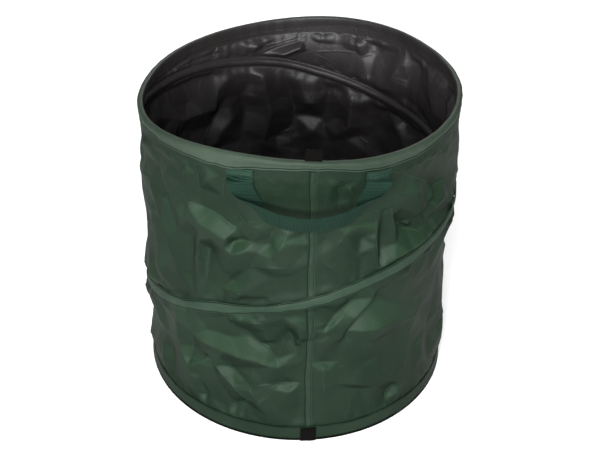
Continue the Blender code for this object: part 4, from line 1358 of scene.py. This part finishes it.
# Outside, the hem's green, painted lighter as light, down to its inner leg, with painted shade along
# the stitches, and black from there. The layer inside the fold is black too.
rim_finishes = np.repeat((0, 2, 0, 1, 0), (2, 1, 14, 2 * rim_rows - 18, 1))
rim_hem = carry(
    "rim_hem_cloth",
    two_layers(around(ring_turns, rim_radius, rim_height), HEM_CLOTH, closed=True),
    ring_map,
    round_trip(rim_lengths),
    (hem_cloth, black_cloth, painted_stitch_shade),
    rim_finishes,
    closed=True,
)
settle(rim_hem, "rim", "rim_hem")
hem_stitch_row = around(ring_turns, rim_radius[3:4] + 0.0001, rim_height[3:4])[0]
stitches("rim_hem_stitches", [hem_stitch_row], green_thread, "rim")


# Closing loop
# A short length of black webbing, folded double round an eye and sewn to the
# top of the rim. A toggle or a cord goes through it when the bag is folded.

LOOP_WIDTH = 0.0262
LOOP_TURN = 0.0058
LOOP_HEIGHT = 0.0212
LOOP_EYE = 0.0033
LOOP_LEG = 0.0115
LOOP_MIDDLE = 0.010
LOOP_RADIUS = 0.2745
LOOP_LEAN = 0.0021
LOOP_CURL = 0.0007
LOOP_COLUMNS = 13
LOOP_HALF_GAP = 0.0009
LOOP_WEBBING = 0.0012
loop_arc = np.linspace(-0.62, math.pi + 0.62, 15)
loop_head = LOOP_HEIGHT - 0.0014 - LOOP_EYE
loop_leg = np.linspace(0, LOOP_LEG, 9)
loop_beside = np.full(len(loop_leg), LOOP_HALF_GAP)
loop_out = np.concatenate([loop_beside, LOOP_EYE * np.cos(loop_arc), -loop_beside])
loop_up = np.concatenate([loop_leg, loop_head + LOOP_EYE * np.sin(loop_arc), loop_leg[::-1]])
loop_share = loop_up[:, None] / LOOP_HEIGHT
loop_across = np.linspace(-1, 1, LOOP_COLUMNS)[None, :]
loop_foot = BAG_HEIGHT + rim_lift(LOOP_TURN + loop_across * LOOP_WIDTH / 2 / WALL_LENGTH) - 0.0003
loop_curl = LOOP_CURL * loop_across**2 * loop_share + 0.0004 * np.sin(3 * loop_across)
loop_points = np.stack(
    [
        LOOP_MIDDLE + LOOP_LEAN * loop_share + loop_across * LOOP_WIDTH / 2,
        -LOOP_RADIUS - loop_out[:, None] + loop_curl,
        loop_foot + loop_up[:, None] - 0.0006 * loop_across * loop_share,
    ],
    axis=-1,
)
loop_running = running_length(np.stack([loop_out, loop_up], axis=-1))[:, None]
rim_loop = carry(
    "closing_loop_webbing",
    two_layers(loop_points, LOOP_WEBBING, closed=False),
    np.broadcast_to(round_trip(loop_running), (2 * len(loop_up) + 1, LOOP_COLUMNS)),
    loop_across * LOOP_WIDTH / 2,
    (black_webbing,),
    np.zeros(2 * len(loop_up)),
    closed=False,
)
settle(rim_loop, "closing_loop", "rim_loop")


# Base tab
# A tab of the same black webbing over the base hem, under the side seam: the
# other end of the closing line.

TAB_HALF_WIDTH = 0.0135
TAB_LENGTH = 0.0285
TAB_TURN = 0.0066
TAB_RADIUS = 0.2891
TAB_MIDDLE_RADIUS = 0.2837
TAB_FOOT = 0.0008
TAB_WEBBING = 0.0014
TAB_ROWS = 22
TAB_COLUMNS = 13
tab_up = np.linspace(0, 1, TAB_ROWS)[:, None]
tab_across = np.linspace(-1, 1, TAB_COLUMNS)[None, :]
tab_turns = TAB_TURN + tab_across * TAB_HALF_WIDTH / (2 * math.pi * TAB_MIDDLE_RADIUS)
tab_height = TAB_FOOT + TAB_LENGTH * tab_up
tab_radius = (
    TAB_RADIUS
    + 0.0002 * np.sin(math.pi * tab_up)
    - 0.0004 * tab_across**2
    - 0.0005 * np.exp(-(((tab_up - 0.88) / 0.05) ** 2))
    + 0.0003 * np.sin(4 * tab_across + 2 * tab_up)
)
base_tab = carry(
    "base_tab_webbing",
    two_layers(
        around(tab_turns, tab_radius, tab_height + 0.0008 * tab_across * tab_up),
        TAB_WEBBING,
        closed=False,
    ),
    np.broadcast_to(round_trip(tab_height), (2 * TAB_ROWS + 1, TAB_COLUMNS)),
    tab_across * TAB_HALF_WIDTH,
    (black_webbing,),
    np.zeros(2 * TAB_ROWS),
    closed=False,
)
settle(base_tab, "base", "base_tab")


# Handle ends
# The two ends of each handle's webbing are folded double and sewn to the wall
# just under the rim hem, and single webbing hangs on down from there.

HANDLE_SPACING = 0.215
HANDLE_HALF_WIDTH = 0.020
HINGE_REACH = 0.26887
HINGE_HEIGHT = 0.5214
HANDLE_WEBBING = 0.0014
PATCH_HEIGHT = 0.0125
PATCH_RADIUS = 0.2818
PATCH_STEP = 0.0012
PATCH_GROOVE = 0.0004
UNDER_HEM_GAP = 0.0006
END_ROWS = 40
STRAP_COLUMNS = 19
GREEN_WEBBING_TONES = ((0.0040, 0.0138, 0.0095), (0.0125, 0.0300, 0.0215))
# The doubled patch is the same webbing, painted lighter than the strap, as painted light.
PAINTED_LIT_PATCH_TONES = ((0.0120, 0.0290, 0.0205), (0.0210, 0.0430, 0.0315))
green_webbing = webbing("green_webbing", *GREEN_WEBBING_TONES, 0.7, rib=0.0026)
lit_patch_webbing = webbing("painted_lit_patch_webbing", *PAINTED_LIT_PATCH_TONES, 0.7, rib=0.0026)


def to_bag(side_turn, sideways, out, up):
    """Points of a handle in the bag's frame, from how far each is sideways of the
    handle's middle, out from the bag's axis, and up: a turn about that axis."""
    angle = 2 * math.pi * side_turn
    x = sideways * math.cos(angle) + out * math.sin(angle)
    y = sideways * math.sin(angle) - out * math.cos(angle)
    return np.stack(np.broadcast_arrays(x, y, up), axis=-1)


def handle_end(name, side_turn, hand, node):
    """An end: the single webbing rises from the hinge line to the doubled patch,
    bending from the strap's plane to the wall's round face. The patch stands out
    by one more webbing, and a box of stitches presses grooves into it."""
    up = np.linspace(0, 1, END_ROWS)[:, None]
    across = np.linspace(-1, 1, STRAP_COLUMNS)[None, :]
    sideways = hand * HANDLE_SPACING / 2 + across * HANDLE_HALF_WIDTH
    turn = side_turn + np.arcsin(sideways / PATCH_RADIUS) / (2 * math.pi)
    top = hem_bottom(turn) - UNDER_HEM_GAP
    patch_foot = top - PATCH_HEIGHT
    height = HINGE_HEIGHT + up * (top - HINGE_HEIGHT)
    wall = np.sqrt((WALL_RADIUS + rim_spread(turn) + 0.0003 + HANDLE_WEBBING) ** 2 - sideways**2)
    rise = np.clip((height - HINGE_HEIGHT) / np.maximum(patch_foot - HINGE_HEIGHT, 0.001), 0, 1)
    rise = rise * rise * (3 - 2 * rise)
    step = np.clip((height - patch_foot) / PATCH_STEP, 0, 1)
    out = (HINGE_REACH + HANDLE_WEBBING / 2) * (1 - rise) + wall * rise + HANDLE_WEBBING * step
    side_groove = np.exp(-(((np.abs(across) - 0.86) / 0.05) ** 2)) * step
    top_groove = np.exp(-(((top - 0.0022 - height) / 0.0007) ** 2)) * step
    out = out - PATCH_GROOVE * side_groove - PATCH_GROOVE * top_groove
    outer = to_bag(side_turn, sideways, out, height)
    # Painted light: the patch rows take the lighter webbing.
    end = carry(
        name,
        two_layers(outer, HANDLE_WEBBING, closed=False),
        np.broadcast_to(round_trip(height), (2 * END_ROWS + 1, STRAP_COLUMNS)),
        across * HANDLE_HALF_WIDTH,
        (green_webbing, lit_patch_webbing),
        np.concatenate([step[:, 9] > 0.5, np.zeros(END_ROWS, bool)]).astype(int),
        closed=False,
    )
    settle(end, "rim", node)
    first = int(np.argmax(step[:, 9] > 0.9)) + 1
    box = [outer[first:, 1], outer[first:, 17], outer[first, 1:18], outer[-6, 1:18]]
    stitches(name + "_stitches", box, green_thread, "rim")


for side, side_turn in (("front", HANDLE_TURN), ("back", 0.5 + HANDLE_TURN)):
    for word, hand in (("left", -1), ("right", 1)):
        ending = side + "_" + word
        handle_end("handle_end_webbing_" + ending, side_turn, hand, "handle_end_" + ending)


# Handles
# Each handle is one length of ribbed webbing. It hangs from its ends, is folded
# over towards the middle along a slanting crease, and bows out between them.

FOLD_START = 0.007
FOLD_RADIUS = 0.006
FOLD_ROLL = math.radians(144)
FOLD_SLANT = math.atan(math.sqrt(-math.cos(FOLD_ROLL)))
SLANT_SINE = math.sin(FOLD_SLANT)
SLANT_COSINE = math.cos(FOLD_SLANT)
HANDLE_DRAWN_DEPTH = 0.042
HANDLE_DRAWN_SHARE = 0.17


def rolled_strap(past, inwards):
    """Where the webbing is past the first edge of its crease: it turns round a
    roll whose axis is the crease, and goes straight on after it. The result is
    sideways, out and up from the hinge line."""
    beside = (inwards + past * SLANT_COSINE) / SLANT_SINE
    angle = np.clip(past / FOLD_RADIUS, 0, FOLD_ROLL)
    straight = past - FOLD_RADIUS * angle
    away = FOLD_RADIUS * np.sin(angle) + straight * np.cos(angle)
    out = FOLD_RADIUS * (1 - np.cos(angle)) + straight * np.sin(angle)
    sideways = HANDLE_SPACING / 2 - SLANT_SINE * beside + SLANT_COSINE * away
    top = -FOLD_START - HANDLE_HALF_WIDTH * SLANT_COSINE / SLANT_SINE
    up = top - SLANT_COSINE * beside - SLANT_SINE * away
    return np.stack(np.broadcast_arrays(sideways, out, up), axis=-1)


def half_strap(inwards):
    """Half a handle: the hanging part, the roll, and the even bend up to the
    middle, where the webbing runs level. Also the length along the webbing."""
    roll_length = FOLD_RADIUS * FOLD_ROLL
    start_of_roll = FOLD_START + (HANDLE_HALF_WIDTH + inwards) * SLANT_COSINE / SLANT_SINE
    hang = np.linspace(0, 1, 10)[:-1, None] * start_of_roll
    hanging = np.stack(
        np.broadcast_arrays(HANDLE_SPACING / 2 - inwards + 0 * hang, 0 * hang, -hang), axis=-1
    )
    past = np.linspace(0, roll_length, 26)[:, None]
    rolled = rolled_strap(past, inwards)
    past_roll = np.linspace(0, 1, 8)[1:, None]
    after = roll_length + past_roll * (HANDLE_HALF_WIDTH - inwards) * SLANT_COSINE
    flat = rolled_strap(after, inwards)
    turned = math.cos(FOLD_ROLL)
    leaving = np.array(
        [
            -SLANT_SINE * SLANT_COSINE + SLANT_COSINE * turned * SLANT_SINE,
            math.sin(FOLD_ROLL) * SLANT_SINE,
            -SLANT_COSINE * SLANT_COSINE - SLANT_SINE * turned * SLANT_SINE,
        ]
    )
    bend = math.acos(-leaving[0])
    rise = leaving * (0, 1, 1)
    rise = rise / np.linalg.norm(rise)
    end = flat[-1]
    bend_radius = end[:, 0] / math.sin(bend)
    left = bend * (1 - np.linspace(0, 1, 34)[1:, None])
    along = bend_radius * (np.cos(left) - math.cos(bend))
    bent = np.stack(
        [
            bend_radius * np.sin(left),
            end[:, 1] + rise[1] * along,
            end[:, 2] + rise[2] * along,
        ],
        axis=-1,
    )
    points = np.concatenate([hanging, rolled, flat, bent])
    steps = np.linalg.norm(np.diff(points, axis=0), axis=-1)
    lengths = np.concatenate([0 * steps[:1], np.cumsum(steps, axis=0)])
    return points, lengths


def handle_strap(name, side_turn, body, node):
    """A whole strap: the half shape and its mirror image, with a slight ripple.
    Below its ends it leans in towards the middle, as its own weight draws it, and
    it thins towards its two edges."""
    inwards = np.linspace(-1, 1, STRAP_COLUMNS)[None, :] * HANDLE_HALF_WIDTH
    points, lengths = half_strap(inwards)
    mirrored = points * (-1, 1, 1)
    strap = np.concatenate([mirrored, points[::-1][1:]], axis=0)
    length = np.concatenate([lengths, 2 * lengths[-1] - lengths[::-1][1:]], axis=0)
    free = np.clip(length / 0.03, 0, 1) * np.clip((length[-1] - length) / 0.03, 0, 1)
    broad_wobble = 0.0007 * np.sin(length * 95 + 1 + inwards * 60)
    wobble = free * (broad_wobble + 0.0005 * np.sin(length * 210 + side_turn * 9))
    strap = strap + wobble[..., None] * (0, 1, 0.3)
    drawn_in = np.clip(-strap[..., 2] / HANDLE_DRAWN_DEPTH, 0, 1)
    strap[..., 0] *= 1 - HANDLE_DRAWN_SHARE * drawn_in * drawn_in * (3 - 2 * drawn_in)
    edge = np.abs(inwards) / HANDLE_HALF_WIDTH
    out = HINGE_REACH + strap[..., 1]
    placed = to_bag(side_turn, strap[..., 0], out, HINGE_HEIGHT + strap[..., 2])
    face = np.swapaxes(placed, 0, 1)
    layers = two_layers(face, HANDLE_WEBBING, closed=False)
    thickness = HANDLE_WEBBING * (1 - 0.55 * edge**8)
    normal = (layers[:STRAP_COLUMNS] - layers[::-1][:STRAP_COLUMNS]) / HANDLE_WEBBING
    outer = face + normal * thickness.T[..., None] / 2
    inner = face - normal * thickness.T[..., None] / 2
    handle = carry(
        name,
        np.concatenate([outer, inner[::-1]], axis=0),
        np.concatenate([length.T, length.T[::-1], length.T[:1]], axis=0),
        round_trip(inwards.T),
        (green_webbing,),
        np.zeros(2 * STRAP_COLUMNS),
        closed=False,
    )
    settle(handle, body, node)


for side, side_turn in (("front", HANDLE_TURN), ("back", 0.5 + HANDLE_TURN)):
    handle_strap(
        "handle_webbing_" + side,
        side_turn,
        side + "_handle",
        "handle_" + side,
    )


# Spring wire
# One drawn steel wire makes the base hoop, the spiral and the rim hoop. Two
# crimped ferrules close the hoops on the spiral. All of it runs inside cloth.

WIRE_RADIUS = 0.00175
WIRE_RING_RADIUS = 0.27475
WIRE_SIDES = 12
RIM_HOOP_HEIGHT = 0.55085
FERRULE_HEIGHT = 0.54895
FERRULE_SIDES = 24
FERRULE_RADIUS = 0.0028
FERRULE_RISE = 0.0019


def spring_steel():
    """Bare drawn wire: a fine grain, and a faint darker bloom."""
    finish = Finish("spring_steel")
    space = finish.add("ShaderNodeTexCoord").outputs["Object"]
    drawn = finish.noise(space, 700.0, 2.0)
    bloom = finish.ramp(finish.noise(space, 30.0, 3.0), 0.35, 0.7)
    finish.join(finish.blend(bloom, (0.42, 0.43, 0.45, 1), (0.30, 0.30, 0.31, 1)), "Base Color")
    finish.join(finish.relief(drawn, 0.00003), "Normal")
    finish.surface.inputs["Metallic"].default_value = 1.0
    finish.surface.inputs["Roughness"].default_value = 0.34
    return finish.material


steel = spring_steel()


def wire(name, turns, heights, closed):
    """A round wire: a circle of points carried along a line of turns."""
    angle = np.linspace(0, 2 * math.pi, WIRE_SIDES, endpoint=False)[:, None]
    share = rim_share(heights)
    radius = WIRE_RING_RADIUS + WIRE_RADIUS * np.cos(angle) + rim_spread(turns) * share
    height = heights + rim_lift(turns) * share + WIRE_RADIUS * np.sin(angle)
    one_turn = 2 * math.pi * WIRE_RING_RADIUS
    distance = turns * one_turn
    if closed:
        distance = np.concatenate([distance, distance[:, :1] + one_turn], axis=1)
    girth = np.linspace(0, 2 * math.pi * WIRE_RADIUS, WIRE_SIDES + 1)[:, None]
    shape = around(turns, radius, height)
    return carry(name, shape, distance, girth, (steel,), np.zeros(WIRE_SIDES), closed)


hoop_turns = np.arange(360)[None, :] / 360
rim_hoop = wire("rim_hoop_wire", hoop_turns, RIM_HOOP_HEIGHT + 0 * hoop_turns, True)
settle(rim_hoop, "rim", "rim_hoop")

wire_turns = np.linspace(-0.683, 0.783, 620)[None, :]
spiral = wire("spiral_spring_wire", wire_turns, spiral_height(wire_turns), False)
settle(spiral, "base", "spiral_wire")
press_flat(spiral)

# The ferrule is a tube round both wires: two half circles, one set above the
# other by the wires' distance.
ferrule_turns = np.linspace(0.7755, 0.7850, 9)[None, :]
ferrule_angle = np.linspace(0, 2 * math.pi, FERRULE_SIDES, endpoint=False)[:, None]
ferrule_out = FERRULE_RADIUS * np.cos(ferrule_angle)
ferrule_up = FERRULE_RADIUS * np.sin(ferrule_angle) + FERRULE_RISE * np.sign(np.sin(ferrule_angle))
rim_ferrule = carry(
    "rim_ferrule_sleeve",
    around(
        ferrule_turns,
        WIRE_RING_RADIUS + ferrule_out + rim_spread(ferrule_turns),
        FERRULE_HEIGHT + rim_lift(ferrule_turns) + ferrule_up,
    ),
    ferrule_turns * WALL_LENGTH,
    np.linspace(0, 0.025, FERRULE_SIDES + 1)[:, None],
    (steel,),
    np.zeros(FERRULE_SIDES),
    closed=False,
)
settle(rim_ferrule, "rim", "rim_ferrule")

# The hoop and the ferrule in the base keep their solids' shape, in this steel.
for node in ("base_hoop", "base_ferrule"):
    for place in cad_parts[node].material_slots:
        place.material = steel


# Studio
# A pale floor that runs on without an edge, broad soft lights and the camera.


def studio_floor():
    """Matt pale card, with a trace of mottling."""
    finish = Finish("studio_floor")
    space = finish.add("ShaderNodeTexCoord").outputs["Object"]
    mottle = finish.noise(space, 2.0, 3.0)
    finish.join(finish.blend(mottle, (0.93, 0.93, 0.93, 1), (0.95, 0.95, 0.95, 1)), "Base Color")
    finish.surface.inputs["Roughness"].default_value = 0.9
    finish.surface.inputs["Specular IOR Level"].default_value = 0.1
    return finish.material


FLOOR_REACH = 14
FLOOR_DROP = 0.0006
floor_corners = [
    (x * FLOOR_REACH, y * FLOOR_REACH, -FLOOR_DROP) for x, y in ((-1, -1), (1, -1), (1, 1), (-1, 1))
]
floor_mesh = bpy.data.meshes.new("floor")
floor_mesh.from_pydata(floor_corners, [], [(0, 1, 2, 3)])
floor_mesh.materials.append(studio_floor())
floor = bpy.data.objects.new("floor", floor_mesh)
bpy.context.scene.collection.objects.link(floor)

world = bpy.data.worlds.new("studio_light")
world.use_nodes = True
world.node_tree.nodes["Background"].inputs["Color"].default_value = (1.0, 1.0, 1.0, 1)
world.node_tree.nodes["Background"].inputs["Strength"].default_value = 0.40
bpy.context.scene.world = world

for name, place, aim, size, power in (
    ("front_light", (-0.6, -2.95, 1.25), (0.0, 0.0, 0.3), (2.0, 0.5), 150),
    ("key_light", (-0.40, -2.45, 2.2), (0.0, 0.0, 0.2), (0.6, 0.5), 75),
    ("back_light", (0.3, 2.8, 2.4), (0.0, 1.0, 0.0), (2.0, 1.2), 75),
):
    lamp = bpy.data.lights.new(name, "AREA")
    lamp.shape = "RECTANGLE"
    lamp.size = size[0]
    lamp.size_y = size[1]
    lamp.energy = power
    lamp_object = bpy.data.objects.new(name, lamp)
    lamp_object.location = place
    ray = Vector(aim) - Vector(place)
    lamp_object.rotation_euler = ray.to_track_quat("-Z", "Y").to_euler()
    bpy.context.scene.collection.objects.link(lamp_object)

CAMERA_DISTANCE = 1.753
CAMERA_HEIGHT = 1.419
CAMERA_TURN = math.radians(2.45)
CAMERA_HEADING = math.radians(2.583)
CAMERA_PITCH = math.radians(33.323)
CAMERA_ROLL = math.radians(1.037)
forward = Vector(
    (
        math.sin(CAMERA_HEADING) * math.cos(CAMERA_PITCH),
        math.cos(CAMERA_HEADING) * math.cos(CAMERA_PITCH),
        -math.sin(CAMERA_PITCH),
    )
)
level = Vector((math.cos(CAMERA_HEADING), -math.sin(CAMERA_HEADING), 0))
upright = level.cross(forward)
right = level * math.cos(CAMERA_ROLL) + upright * math.sin(CAMERA_ROLL)
above = upright * math.cos(CAMERA_ROLL) - level * math.sin(CAMERA_ROLL)
camera_data = bpy.data.cameras.new("camera")
camera_data.sensor_width = 36
camera_data.lens = 68.16
camera = bpy.data.objects.new("camera", camera_data)
camera.matrix_world = Matrix.Translation(
    (
        -CAMERA_DISTANCE * math.sin(CAMERA_TURN),
        -CAMERA_DISTANCE * math.cos(CAMERA_TURN),
        CAMERA_HEIGHT,
    )
) @ Matrix((right, above, -forward)).transposed().to_4x4()
bpy.context.scene.collection.objects.link(camera)
bpy.context.scene.camera = camera
bpy.context.scene.view_settings.view_transform = "Standard"

bpy.context.view_layer.update()
